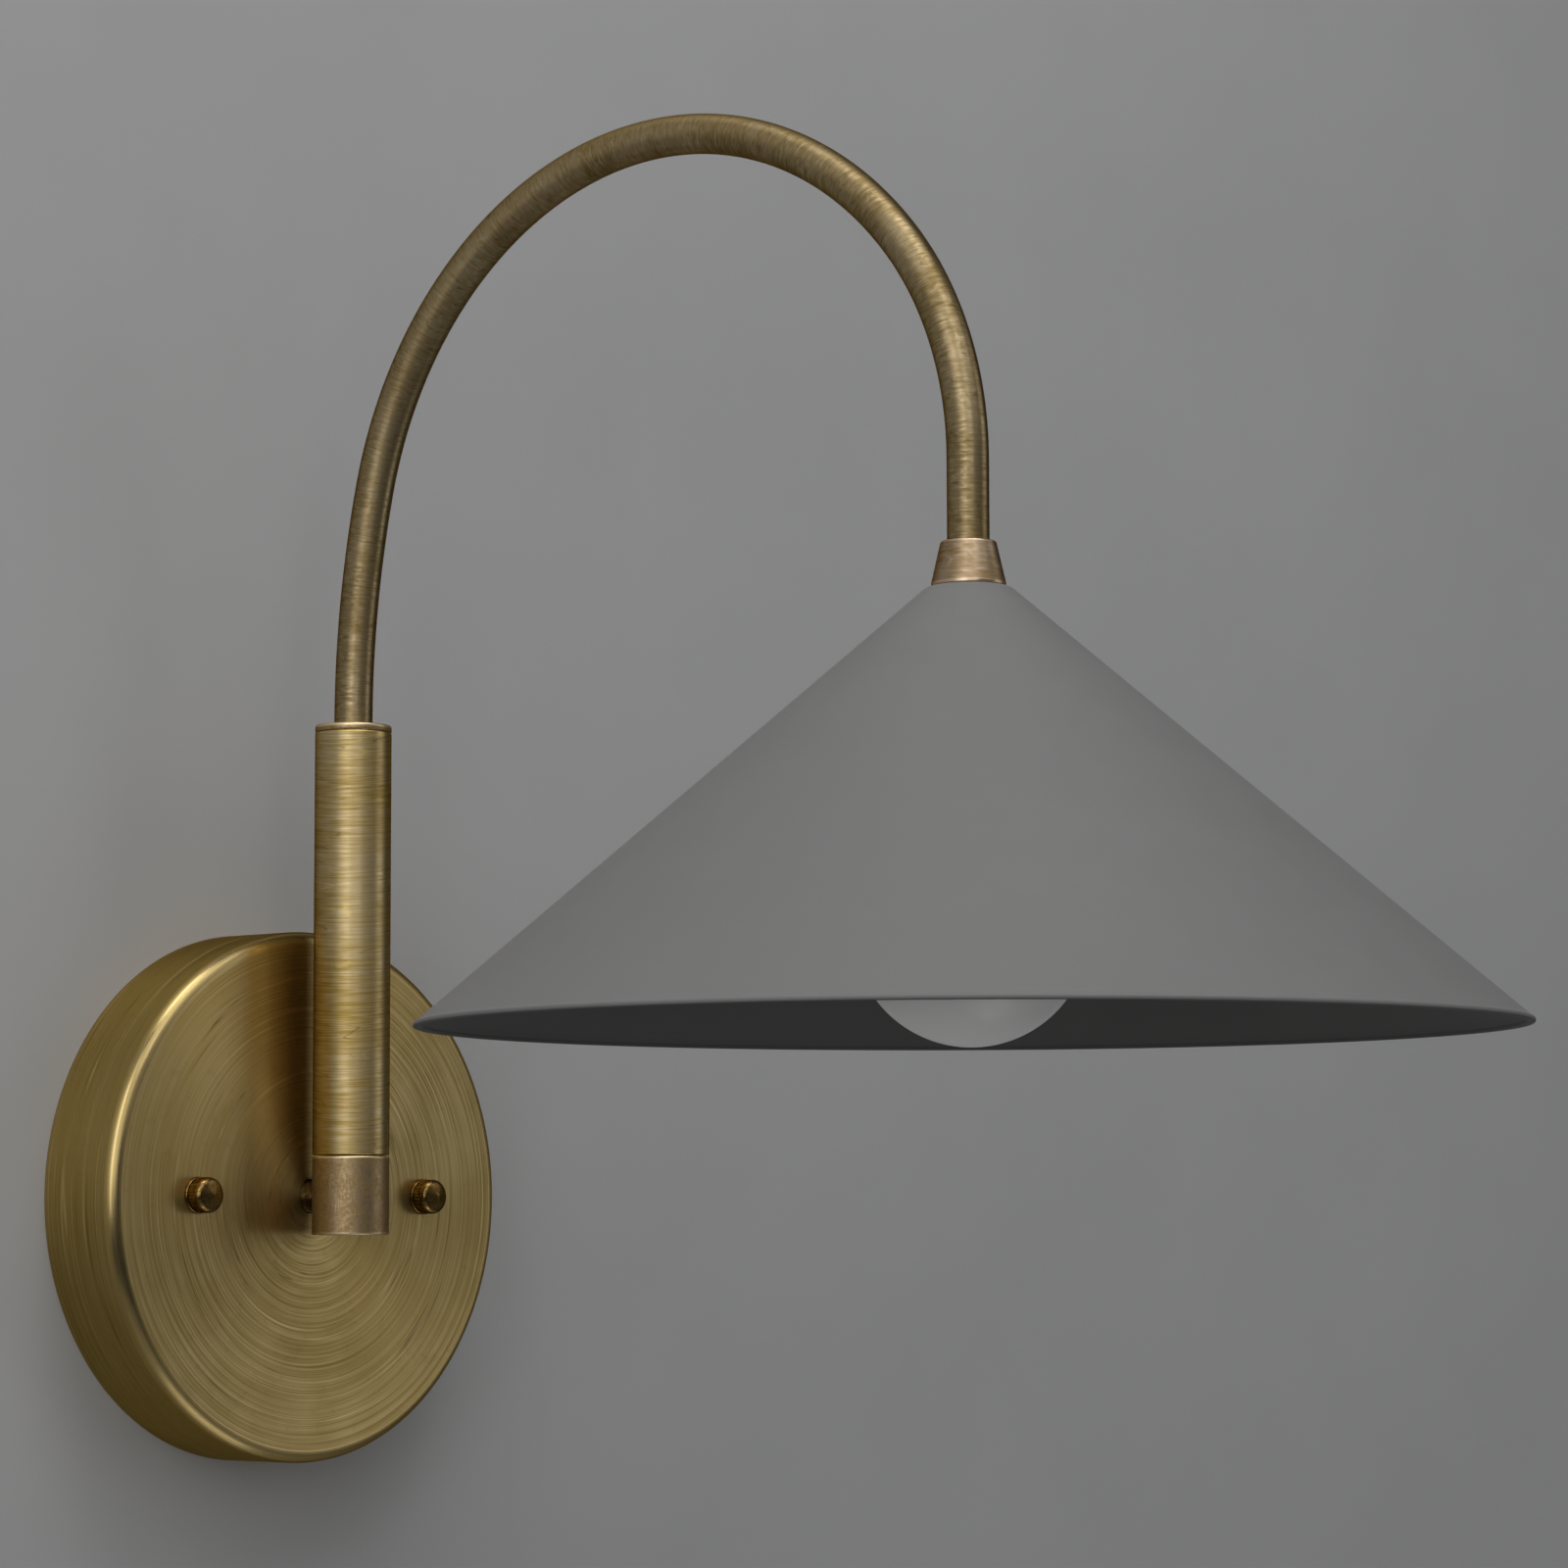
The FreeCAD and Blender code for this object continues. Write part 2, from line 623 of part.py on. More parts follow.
def make_earth_terminal():
    """Earth screw in the plate and the ring terminal under its head."""
    across = "size.earth_screw_place"
    tag_thick = "size.canopy_wall"
    seat_level = "size.plate_thick + size.fit"
    head = f"{seat_level} + {tag_thick} + size.fit"
    shank = "size.stud_dia / 2"
    points = [("0", "0"), (shank, "0"), (shank, head), ("size.earth_head_dia / 2", head),
              ("size.earth_head_dia / 2", f"{head} + size.pan_head_height"),
              ("0", f"{head} + size.pan_head_height")]
    hand_in(turned("earth_screw_solid", points, (across, "0", "0"), FROM_WALL), "earth_screw")
    barrel = "size.wire_dia / 2 + size.screw_fit + size.tag_barrel_wall"
    barrel_axis = f"{seat_level} + {barrel}"
    eye = cylinder("tag_eye", "size.earth_head_dia / 2 + size.screw_fit", tag_thick,
                   (across, f"-({seat_level})", "0"), FROM_WALL)
    along = FreeCAD.Rotation(FreeCAD.Vector(0, 1, 0), 90)
    barrel_start = f"{across} - size.earth_head_dia / 2 - size.tag_barrel_gap"
    length = "size.tag_barrel_length"
    tube = cylinder("tag_barrel", barrel, length, (barrel_start, f"-({barrel_axis})", "0"), along)
    reach = "size.earth_head_dia / 2 + size.tag_bridge_reach"
    bridge = box("tag_bridge", (reach, tag_thick, "size.tag_bridge_width"),
                 (f"{across} - ({reach})", f"-({seat_level} + {tag_thick})",
                  "-size.tag_bridge_width / 2"))
    joined = fuse("tag_blank", [eye, tube, bridge])
    shank_hole = cylinder("tag_hole", "size.stud_dia / 2 + size.fit", tag_thick,
                          (across, f"-({seat_level})", "0"), FROM_WALL)
    wire_hole = cylinder("tag_wire_hole", "size.wire_dia / 2 + size.fit", length,
                         (barrel_start, f"-({barrel_axis})", "0"), along)
    hand_in(cut("tag_solid", joined, [shank_hole, wire_hole]), "earth_ring_terminal")
    return barrel_start, barrel_axis


def make_supply_leads(barrel_start, barrel_axis):
    """Three leads from the coupling, back through the hollow stud, to block and earth screw."""
    radius = value("size.wire_dia / 2")
    start = "-size.axis_offset + size.cable_dia / 2 + size.seat"
    level = "-(size.plate_thick + size.block_depth / 2)"
    block_edge = "-size.block_place + size.block_length / 2 - size.block_screw_pitch / 2"
    turn_out = "-(size.canopy_depth - size.canopy_wall - size.standoff_tail) + size.wire_bend_radius"
    for name, sign in (("live_lead", ""), ("neutral_lead", "-")):
        side, lane_at = "-size.pair_lane_side", f"{sign}size.pair_lane_up"
        row_at = f"{sign}size.block_screw_pitch / 2"
        corner = f"({turn_out} + {level}) / 2"
        points = [
            spot(side, start, lane_at), spot(side, corner, lane_at),
            spot("-size.wire_turn_place", level, row_at), spot(block_edge, level, row_at),
        ]
        lead = doc.addObject("Part::Feature", name)
        lead.Shape = wire_along(points, radius, value("size.wire_tight_bend_radius"))
        hand_in(lead, name)
    points = [
        spot("size.earth_lane_side", start, "0"),
        spot("size.earth_lane_side", f"-({barrel_axis})", "0"),
        spot(f"{barrel_start} + size.wire_crimp_depth", f"-({barrel_axis})", "0"),
    ]
    lead = doc.addObject("Part::Feature", "earth_lead")
    lead.Shape = wire_along(points, radius, value("size.wire_bend_radius"))
    hand_in(lead, "earth_lead")


# ---------------------------------------------------------------- coupling, swivel and column

def make_coupling():
    """Solid turned coupling: chamfered ends, a top bore for the swivel stud and a side bore."""
    radius, half = "size.column_dia / 2", "size.coupling_height / 2"
    nick = "size.coupling_chamfer"
    bore = "size.nipple_dia / 2 + size.fit"
    chamber = "size.coupling_chamber_dia / 2"
    floor = "size.nipple_dia / 2"
    grip = f"{half} - size.swivel_grip"
    points = [
        ("0", "-" + half), (f"{radius} - {nick}", "-" + half), (radius, f"-{half} + {nick}"),
        (radius, f"{half} - {nick}"), (f"{radius} - {nick}", half), (bore, half), (bore, grip),
        (chamber, grip), (chamber, "-" + floor), ("0", "-" + floor),
    ]
    body = turned("coupling_turned", points, ("0", "-size.axis_offset", "0"))
    side_bore = cylinder("coupling_side_bore", bore, "size.standoff_grip + size.fit",
                         ("0", "-size.axis_offset + size.column_dia / 2 - size.standoff_grip - size.fit",
                          "0"), FreeCAD.Rotation(FreeCAD.Vector(1, 0, 0), -90))
    wire_way = cylinder("coupling_wire_way", "size.nipple_bore / 2", radius,
                        ("0", "-size.axis_offset", "0"),
                        FreeCAD.Rotation(FreeCAD.Vector(1, 0, 0), -90))
    hand_in(cut("coupling_solid", body, [side_bore, wire_way]), "coupling")


def make_swivel():
    """Hollow swivel stud in the coupling, and the washer and nut that hold the column on it."""
    base = ("0", "-size.axis_offset", "0")
    washer_foot = "at.column_foot + size.plug_height + size.seat"
    nut_foot = f"{washer_foot} + size.washer_thick"
    stud_top = f"{nut_foot} + size.locknut_height + size.thread_beyond"
    hand_in(ring("swivel", "size.nipple_dia / 2", "size.nipple_bore / 2",
                 "at.coupling_top - size.swivel_grip", stud_top, base), "swivel_stud")
    bore = "size.nipple_dia / 2 + size.fit"
    hand_in(ring("swivel_ring", "size.washer_dia / 2", bore, washer_foot, nut_foot, base),
            "swivel_washer")
    base = ("0", "-size.axis_offset", nut_foot)
    hand_in(hex_nut("swivel_nut", "at.locknut_corner", "size.locknut_height", bore, base),
            "swivel_locknut")


def make_column():
    """Brushed column tube with the plug in its foot and the ring cap in its head."""
    base = ("0", "-size.axis_offset", "0")
    radius = "size.column_dia / 2"
    bore = f"{radius} - size.column_wall"
    hand_in(ring("column_tube", radius, bore, "at.column_foot", "at.column_head", base), "column")
    hand_in(ring("column_foot_plug", f"{bore} - size.fit", "size.nipple_dia / 2 + size.fit",
                 "at.column_foot", "at.column_foot + size.plug_height", base), "column_plug")
    spigot = f"{bore} - size.fit"
    tube_hole = "size.tube_dia / 2 + size.fit"
    spigot_foot = "at.column_head - size.cap_spigot_height"
    nick = "size.cap_ring_chamfer"
    points = [
        (tube_hole, spigot_foot), (spigot, spigot_foot), (spigot, "at.column_head"),
        (radius, "at.column_head"), (radius, f"at.cap_head - {nick}"),
        (f"{radius} - {nick}", "at.cap_head"), (tube_hole, "at.cap_head"),
    ]
    hand_in(turned("column_ring_cap", points, base), "column_cap")


def make_gooseneck():
    """Bent arm tube from inside the column's cap to inside the ferrule."""
    outer = "size.tube_dia / 2"
    body = arm_pipe("arm_tube", (outer, outer + " - size.tube_wall"), "at.tube_foot", "at.tube_end")
    hand_in(body, "gooseneck")


def make_cable():
    """Sheathed cable inside the arm, whole from the coupling to the lampholder."""
    hand_in(arm_pipe("arm_cable_rod", ("size.cable_dia / 2",), "-size.cable_dia / 2",
                     "at.cable_end"), "arm_cable")


# ---------------------------------------------------------------- ferrule, shade and lampholder

def make_ferrule():
    """Turned cone between the arm and the shade, socketed for the tube and tapped below."""
    base = ("0", "at.shade_y", "at.shade_top")
    height, top, low = "size.ferrule_height", "size.ferrule_top_dia / 2", "size.ferrule_bottom_dia / 2"
    tube_hole, tapped = "size.tube_dia / 2 + size.fit", "size.nipple_dia / 2 + size.fit"
    step = "size.ferrule_height - size.ferrule_socket_depth - size.fit"
    nick = "size.coupling_chamfer"
    points = [
        (tapped, "0"), (f"{low} - {nick}", "0"), (low, nick), (top, f"{height} - {nick}"),
        (f"{top} - {nick}", height), (tube_hole, height), (tube_hole, step), (tapped, step),
    ]
    hand_in(turned("ferrule_turned", points, base), "ferrule")
    hand_in(ring("shade_stud", "size.nipple_dia / 2", "size.nipple_bore / 2",
                 "at.shade_nipple_foot", "at.tube_end - size.fit", ("0", "at.shade_y", "0")),
            "shade_nipple")


def make_shade():
    """Spun cone shade with a small flat top, a rounded shoulder and a rolled hem."""
    base = ("0", "at.shade_y", "at.shade_top")
    hole = "size.nipple_dia / 2 + size.screw_fit"
    shoulder, rim = "size.shade_top_dia / 2", "size.shade_dia / 2"
    hem = "size.shade_hem_dia / 2"
    low = "-size.shade_height"
    slope_up = f"{low} + {hem}"
    rim_in = f"{rim} - at.shade_slope * {hem}"
    inner = "at.shade_inner_top"
    points = [
        (hole, "0"), (shoulder, "0"), (rim_in, slope_up), (f"{rim_in} - at.shade_inset", slope_up),
        (inner, "-size.shade_wall"), (hole, "-size.shade_wall"),
    ]
    body = turned("shade_spun", points, base)
    round_edges(body, "shade_shoulder", [(shoulder, "0")], "size.shade_shoulder_radius")
    round_edges(body, "shade_inner_shoulder", [(inner, "-size.shade_wall")],
                "size.shade_shoulder_radius - size.shade_wall")
    sketch = new_sketch(body, "shade_hem_sketch", "XZ_Plane")
    draw_circle(sketch, f"{rim} - {hem}", slope_up, hem)
    turn = body.newObject("PartDesign::Revolution", "shade_hem")
    turn.Profile = sketch
    turn.ReferenceAxis = (sketch, ["V_Axis"])
    turn.Angle = 360
    doc.recompute()
    hand_in(body, "shade")
    bore = "size.nipple_dia / 2 + size.fit"
    hand_in(ring("shade_ring", "size.washer_dia / 2", bore, "at.shade_nut_top",
                 "at.shade_top - size.shade_wall", ("0", "at.shade_y", "0")), "shade_washer")
    base = ("0", "at.shade_y", "at.shade_nut_top - size.locknut_height")
    hand_in(hex_nut("shade_nut", "at.locknut_corner", "size.locknut_height", bore, base),
            "shade_locknut")


def make_lampholder():
    """Metal cap, porcelain body, screw shell, centre contact and screws of the lampholder."""
    base = ("0", "at.shade_y", "at.holder_top")
    wall, hub, rim = "size.cap_wall", "size.cap_hub_dia / 2", "size.cap_dia / 2"
    bore = "size.nipple_dia / 2 + size.fit"
    dome_foot = "-size.cap_hub_height - size.cap_shoulder_drop"
    points = [
        (bore, "0"), (hub, "0"), (hub, f"-{wall} - size.cap_hub_step"), (rim, dome_foot),
        (rim, "-size.cap_height"), (f"{rim} - {wall}", "-size.cap_height"),
        (f"{rim} - {wall}", f"{dome_foot} - size.cap_hub_step"),
        (hub, "-size.cap_hub_height"), (bore, "-size.cap_hub_height"),
    ]
    hand_in(turned("holder_cap", points, base), "socket_cap")

    neck = f"{rim} - {wall} - size.fit"
    top = "-size.body_top_gap"
    step = "-size.cap_height - size.seat"
    floor = "-size.body_top_gap - size.body_floor"
    low = "-size.body_top_gap - size.body_length"
    pocket = "size.shell_dia / 2 + size.fit"
    rivet = "size.fixing_screw_dia / 2"
    nick = "size.body_rim_chamfer"
    points = [
        (f"{rivet} + size.fit", top), (neck, top), (neck, step), (rim, step),
        (rim, f"{low} + {nick}"), (f"{rim} - {nick}", low), (pocket, low), (pocket, floor),
        (f"{rivet} + size.fit", floor),
    ]
    body = turned("holder_body", points, base)

    def draw_screw_holes(sketch):
        for sign in ("-", ""):
            draw_circle(sketch, "0", sign + "size.terminal_screw_pitch / 2",
                        "size.fixing_screw_dia / 2 + size.fit")

    cut_through(body, "holder_screw_holes", "XY_Plane", draw_screw_holes)
    hand_in(body, "socket_body")

    shell, thin = "size.shell_dia / 2", "size.shell_wall"
    floor_edge = f"{shell} - size.shell_floor_width"
    points = [
        (floor_edge, floor), (shell, floor), (shell, f"{floor} - size.shell_length"),
        (f"{shell} - {thin}", f"{floor} - size.shell_length"), (f"{shell} - {thin}", f"{floor} - {thin}"),
        (floor_edge, f"{floor} - {thin}"),
    ]
    body = turned("holder_shell", points, base)
    cut_through(body, "shell_screw_holes", "XY_Plane", draw_screw_holes)
    hand_in(body, "socket_screw_shell")

    tip = f"{floor} - size.contact_height + size.seat"
    head, head_edge = f"{top} + size.rivet_head", f"{rivet} + size.rivet_head_rim"
    contact_edge = f"{rivet} + size.contact_rim"
    points = [("0", head), (head_edge, head), (head_edge, top), (rivet, top), (rivet, floor),
              (contact_edge, floor), (contact_edge, tip), ("0", tip)]
    hand_in(turned("holder_contact", points, base), "socket_centre_contact")
    make_terminal_screws(top, floor)


def make_terminal_screws(top, floor):
    """Two terminal screws through the lampholder's floor and their washers' seats."""
    shank, head = "size.fixing_screw_dia / 2", "size.pan_head_dia / 2"
    screws = []
    for name, sign in (("near_terminal", "-"), ("far_terminal", "+")):
        base = ("0", f"at.shade_y {sign} size.terminal_screw_pitch / 2", "at.holder_top")
        points = [("0", f"{floor} + size.seat"), (shank, f"{floor} + size.seat"), (shank, top),
                  (head, top), (head, f"{top} + size.terminal_head_height"),
                  ("0", f"{top} + size.terminal_head_height")]
        screws.append(turned(name, points, base))
    hand_in(group("terminal_pair", screws), "socket_terminal_screws")


def make_holder_leads():
    """Two short leads from the cable's end to the lampholder's terminal screws."""
    core = "size.core_dia / 2"
    start = "at.cable_end - size.seat"
    level = f"at.holder_top - size.body_top_gap + size.rivet_head + {core} + size.seat"
    reach = f"(size.terminal_screw_pitch / 2 - size.pan_head_dia / 2 - {core} - size.screw_fit)"
    for name, sign in (("holder_live_lead", "-"), ("holder_neutral_lead", "+")):
        lane = f"at.shade_y {sign} size.core_lane"
        points = [spot("0", lane, start), spot("0", lane, level),
                  spot("0", f"at.shade_y {sign} {reach}", level)]
        lead = doc.addObject("Part::Feature", name)
        lead.Shape = wire_along(points, value(core), value("size.core_bend_radius"))
        hand_in(lead, name)


# ---------------------------------------------------------------- bulb

def make_bulb_base():
    """Screw base of the bulb: foot contact, insulator and threaded shell."""
    base = ("0", "at.shade_y", "at.bulb_foot")
    foot, tip = "size.bulb_foot_dia / 2", "size.bulb_foot_height"
    shell = "size.bulb_base_dia / 2"
    thin = "size.bulb_base_wall"
    shoulder = "size.bulb_foot_height + size.bulb_insulator_height"
    points = [("0", "0"), (f"{foot} - size.bulb_foot_bevel", "0"),
              (foot, f"-{tip} + size.bulb_foot_edge"), (foot, f"-({tip})"), ("0", f"-({tip})")]
    hand_in(turned("foot_contact", points, base), "bulb_foot_contact")
    glass_top = f"-({tip} + size.seat)"
    lip, nick = f"{shell} - size.bulb_base_lip", "size.bulb_base_chamfer"
    glass_foot = f"-({shoulder} + size.bulb_insulator_depth)"
    points = [("0", glass_top), (f"{foot} + size.bulb_insulator_margin", glass_top),
              (f"{lip} - size.fit", f"-({shoulder})"), (f"{lip} - size.fit", glass_foot),
              ("0", glass_foot)]
    hand_in(turned("base_insulator", points, base), "bulb_insulator")
    end = f"-({shoulder} + size.bulb_base_length)"
    inner_nick = f"{nick} + size.seat"
    points = [(lip, f"-({shoulder})"), (f"{shell} - {nick}", f"-({shoulder})"),
              (shell, f"-({shoulder} + {nick})"), (shell, end), (f"{shell} - {thin}", end),
              (f"{shell} - {thin}", f"-({shoulder} + {inner_nick})"),
              (f"{shell} - ({inner_nick})", f"-({shoulder} + {thin})"),
              (lip, f"-({shoulder} + {thin})")]
    hand_in(turned("base_shell", points, base), "bulb_base_shell")


def make_bulb_globe():
    """Opal glass globe: a sphere drawn into a neck by a tangent hollow curve."""
    radius = value("size.bulb_dia / 2")
    neck = value("size.bulb_base_dia / 2 - size.bulb_base_wall - size.fit")
    glass = value("size.bulb_glass")
    length = value("size.bulb_length")
    neck_low = value("size.bulb_neck_length")
    neck_high = value("size.bulb_foot_height + size.bulb_insulator_height + size.bulb_base_length"
                      " - size.bulb_neck_depth")
    sphere_at = length - radius
    drop = sphere_at - neck_low
    hollow = (neck ** 2 + drop ** 2 - radius ** 2) / (2 * (radius - neck))
    span = radius + hollow
    lean = math.atan2(drop, neck + hollow)

    def side(inset):
        """Half outline at an inset from the outer face, from the neck's mouth to the far pole."""
        curve, ball = hollow + inset, radius - inset
        centre = FreeCAD.Vector(neck + hollow, 0, -neck_low)

        def on_curve(angle):
            return centre - FreeCAD.Vector(math.cos(angle), 0, math.sin(angle)) * curve

        def on_ball(angle):
            return FreeCAD.Vector(math.cos(angle) * ball, 0, -sphere_at + math.sin(angle) * ball)

        mouth = FreeCAD.Vector(neck - inset, 0, -neck_high)
        far = FreeCAD.Vector(0, 0, -sphere_at - ball)
        return [
            Part.LineSegment(mouth, on_curve(0)).toShape(),
            Part.Arc(on_curve(0), on_curve(lean / 2), on_curve(lean)).toShape(),
            Part.Arc(on_ball(lean), on_ball((lean - math.pi / 2) / 2), far).toShape(),
        ]

    outer, inner = side(0), side(glass)
    mouth = Part.LineSegment(outer[0].Vertexes[0].Point, inner[0].Vertexes[0].Point).toShape()
    pole = Part.LineSegment(outer[2].Vertexes[-1].Point, inner[2].Vertexes[-1].Point).toShape()
    assert abs(span - math.hypot(neck + hollow, drop)) < CLOSE
    outline = Part.Wire(Part.sortEdges(outer + [pole] + inner + [mouth])[0])
    profile = Part.Face(outline)
    globe = doc.addObject("Part::Feature", "globe")
    globe.Shape = profile.revolve(FreeCAD.Vector(0, 0, 0), FreeCAD.Vector(0, 0, 1), 360)
    place(globe, ("0", "at.shade_y", "at.bulb_foot"))
    hand_in(globe, "bulb_globe")
    neck_inner = "size.bulb_base_dia / 2 - size.bulb_base_wall - size.fit - size.bulb_glass - size.fit"
    low = "-size.bulb_neck_length"
    hand_in(ring("led_board", neck_inner, "size.bulb_board_hole_dia / 2",
                 f"{low} - size.bulb_board_thick", low, ("0", "at.shade_y", "at.bulb_foot")),
            "bulb_light_board")


def build():
    """Make every sub-part."""
    make_canopy()
    make_mounting_plate()
    make_studs()
    make_standoff()
    make_terminal_block()
    make_supply_leads(*make_earth_terminal())
    make_coupling()
    make_swivel()
    make_column()
    make_gooseneck()
    make_cable()
    make_ferrule()
    make_shade()
    make_lampholder()
    make_holder_leads()
    make_bulb_base()
    make_bulb_globe()
    doc.recompute()


def check():
    """Stop if an object failed or a sub-part's shape is empty or invalid."""
    for item in doc.Objects:
        faults = {"Invalid", "Error"} & set(item.State)
        assert not faults, f"{item.Name}: {item.State}"
    for item in exports:
        shape = item.Shape
        assert not shape.isNull(), item.Label + " is empty"
        assert shape.isValid(), item.Label + " is invalid"
        assert shape.Solids, item.Label + " has no solid"


def write():
    """Write one STEP file a sub-part and print its size."""
    os.makedirs("parts", exist_ok=True)
    for item in exports:
        item.Shape.exportStep(f"parts/{item.Label}.step")
        extent = item.Shape.BoundBox
        print(f"{item.Label:24s} {len(item.Shape.Solids)} solids {item.Shape.Volume:11.2f} mm3"
              f"  y {extent.YMin:8.2f} {extent.YMax:8.2f}  z {extent.ZMin:8.2f} {extent.ZMax:8.2f}")


build()
check()
write()
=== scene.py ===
"""Looks of the gooseneck wall sconce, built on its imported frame.

Places are in metres in the row's own axes: +Z is up, the wall is the plane Y = 0 and the sconce
stands out towards -Y. Sizes of pieces are written in millimetres, as a metalworker would.
"""

import logging
import math
from collections.abc import Callable
from dataclasses import dataclass, field
from enum import Enum

import bmesh
import bpy
from bpy.types import (Material, Mesh, MeshPolygon, Node, NodeInputs, NodeOutputs, NodeSocket,
                       NodeTree, Object)
from mathutils import Matrix, Vector


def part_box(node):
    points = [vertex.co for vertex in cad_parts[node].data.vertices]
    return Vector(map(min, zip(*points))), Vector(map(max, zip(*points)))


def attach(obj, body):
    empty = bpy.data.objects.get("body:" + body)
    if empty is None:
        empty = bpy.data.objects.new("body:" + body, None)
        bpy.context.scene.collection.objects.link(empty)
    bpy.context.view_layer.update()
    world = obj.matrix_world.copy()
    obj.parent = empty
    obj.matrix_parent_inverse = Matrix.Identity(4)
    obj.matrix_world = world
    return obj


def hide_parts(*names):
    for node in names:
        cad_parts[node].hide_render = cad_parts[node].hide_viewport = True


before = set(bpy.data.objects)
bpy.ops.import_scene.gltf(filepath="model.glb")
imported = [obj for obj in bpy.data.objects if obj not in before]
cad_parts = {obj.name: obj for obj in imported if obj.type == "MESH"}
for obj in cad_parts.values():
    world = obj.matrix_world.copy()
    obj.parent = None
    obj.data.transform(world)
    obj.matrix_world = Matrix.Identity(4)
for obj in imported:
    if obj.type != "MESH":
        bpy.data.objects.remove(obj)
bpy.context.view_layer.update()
MAP, RIM = "UVMap", "rim"
FLOAT, VECTOR = "NodeSocketFloat", "NodeSocketVector"
ZINC = "zinc_steel"
log = logging.getLogger("sconce")

# Fits and threads that several sub-assemblies share, in millimetres.
LAMP_PITCH = 3.629
NIPPLE_BORE = 3.8
NIPPLE_HOLE = 5.05
ARM_HOLE = 5.55
ARM_SOCKET = 6.4
LOCKNUT_APOTHEM = 7.0
NIPPLE_THREAD = {"thread_pitch": 1.0, "thread_depth": 0.5}
LAMP_THREAD = {"thread_pitch": LAMP_PITCH, "thread_depth": 0.75}
GAP = 0.05


def metres(millimetres: float) -> float:
    """Length in metres of a length in millimetres."""
    return millimetres / 1000.0


def mm_box(node: str) -> tuple[Vector, Vector]:
    """Lowest and highest corner of a CAD node at rest, in millimetres."""
    low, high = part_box(node)
    return low * 1000.0, high * 1000.0


# ------------------------------------------------------------------ node trees

Value = float | int | tuple | NodeSocket


class Wiring:
    """Adds nodes to one tree and joins them."""

    def __init__(self, tree: NodeTree) -> None:
        """Wire up the given tree."""
        self.tree = tree

    def feed(self, socket: NodeSocket, value: Value) -> None:
        """Link a socket into another, or set its plain value."""
        if isinstance(value, NodeSocket):
            self.tree.links.new(value, socket)
        else:
            socket.default_value = value

    def add(self, kind: str, feeds: dict[str | int, Value] | None = None,
            **settings: object) -> Node:
        """Add one node.

        Args:
            kind: Blender's name of the node's type.
            feeds: What goes into its input sockets, by socket name or number.
            settings: Properties of the node itself.

        Returns:
            The new node.
        """
        node = self.tree.nodes.new(kind)
        for name, setting in settings.items():
            setattr(node, name, setting)
        self.fill(node, feeds or {})
        return node

    def fill(self, node: Node, feeds: dict[str | int, Value]) -> None:
        """Feed several input sockets of a node, by socket name or number."""
        for name, value in feeds.items():
            self.feed(node.inputs[name], value)

    def math(self, operation: str, *values: Value, clamp: bool = False) -> NodeSocket:
        """Result of a Math node on one to three values."""
        return self.add("ShaderNodeMath", dict(enumerate(values)), operation=operation,
                        use_clamp=clamp).outputs[0]

    def scaled(self, vector: Value, factor: Value) -> NodeSocket:
        """A vector times a number."""
        return self.add("ShaderNodeVectorMath", {0: vector, "Scale": factor},
                        operation="SCALE").outputs[0]

    def summed(self, first: Value, second: Value) -> NodeSocket:
        """Sum of two vectors."""
        return self.add("ShaderNodeVectorMath", {0: first, 1: second}, operation="ADD").outputs[0]

    def product(self, *values: Value) -> NodeSocket:
        """Product of two or more numbers."""
        result = values[0]
        for value in values[1:]:
            result = self.math("MULTIPLY", result, value)
        return result

    def vector(self, *values: Value) -> NodeSocket:
        """Vector of three values."""
        return self.add("ShaderNodeCombineXYZ", dict(enumerate(values))).outputs[0]

    def ranged(self, value: Value, low: float, high: float, start: float = 0.0,
               end: float = 1.0) -> NodeSocket:
        """A value eased from one range into another and held at its ends."""
        return self.add("ShaderNodeMapRange", {"Value": value, "From Min": low, "From Max": high,
                                               "To Min": start, "To Max": end},
                        interpolation_type="SMOOTHSTEP").outputs["Result"]

    def noise(self, vector: Value, scale: float, detail: float = 3.0,
              roughness: float = 0.55) -> NodeSocket:
        """Value of a three-dimensional noise."""
        return self.add("ShaderNodeTexNoise", {"Vector": vector, "Scale": scale, "Detail": detail,
                                               "Roughness": roughness}).outputs[0]

    def mixed(self, factor: Value, first: Value, second: Value) -> NodeSocket:
        """Two colours mixed by a factor."""
        return self.add("ShaderNodeMix", {0: factor, 6: first, 7: second},
                        data_type="RGBA").outputs[2]

    def emboss(self, shader: Node, strength: float, depth: float,
               height: Value) -> None:
        """Bump a shader's surface by a height, up to a depth in millimetres."""
        bump = self.add("ShaderNodeBump", {"Strength": strength, "Distance": metres(depth),
                                           "Height": height})
        self.feed(shader.inputs["Normal"], bump.outputs[0])

    def over_object(self, group: NodeTree, scale: float) -> NodeOutputs:
        """Outputs of a shader group laid over the piece's own coordinates."""
        place = self.add("ShaderNodeTexCoord").outputs["Object"]
        return self.add("ShaderNodeGroup", {"Vector": place, "Scale": scale},
                        node_tree=group).outputs


def new_group(name: str, kind: str, inputs: dict[str, str],
              outputs: dict[str, str]) -> NodeTree:
    """Empty node group with its sockets.

    Args:
        name: Name of the group.
        kind: Type of the tree.
        inputs: Type of each input socket by its name.
        outputs: Type of each output socket by its name.

    Returns:
        The new tree, with no nodes in it.
    """
    tree = bpy.data.node_groups.new(name, kind)
    for way, sockets in (("INPUT", inputs), ("OUTPUT", outputs)):
        for label, socket_type in sockets.items():
            tree.interface.new_socket(label, in_out=way, socket_type=socket_type)
    return tree


def live(sockets: NodeInputs | NodeOutputs, name: str = "") -> NodeSocket:
    """First socket in use, or the one in use with the given name."""
    return next(item for item in sockets if item.enabled and name in ("", item.name))


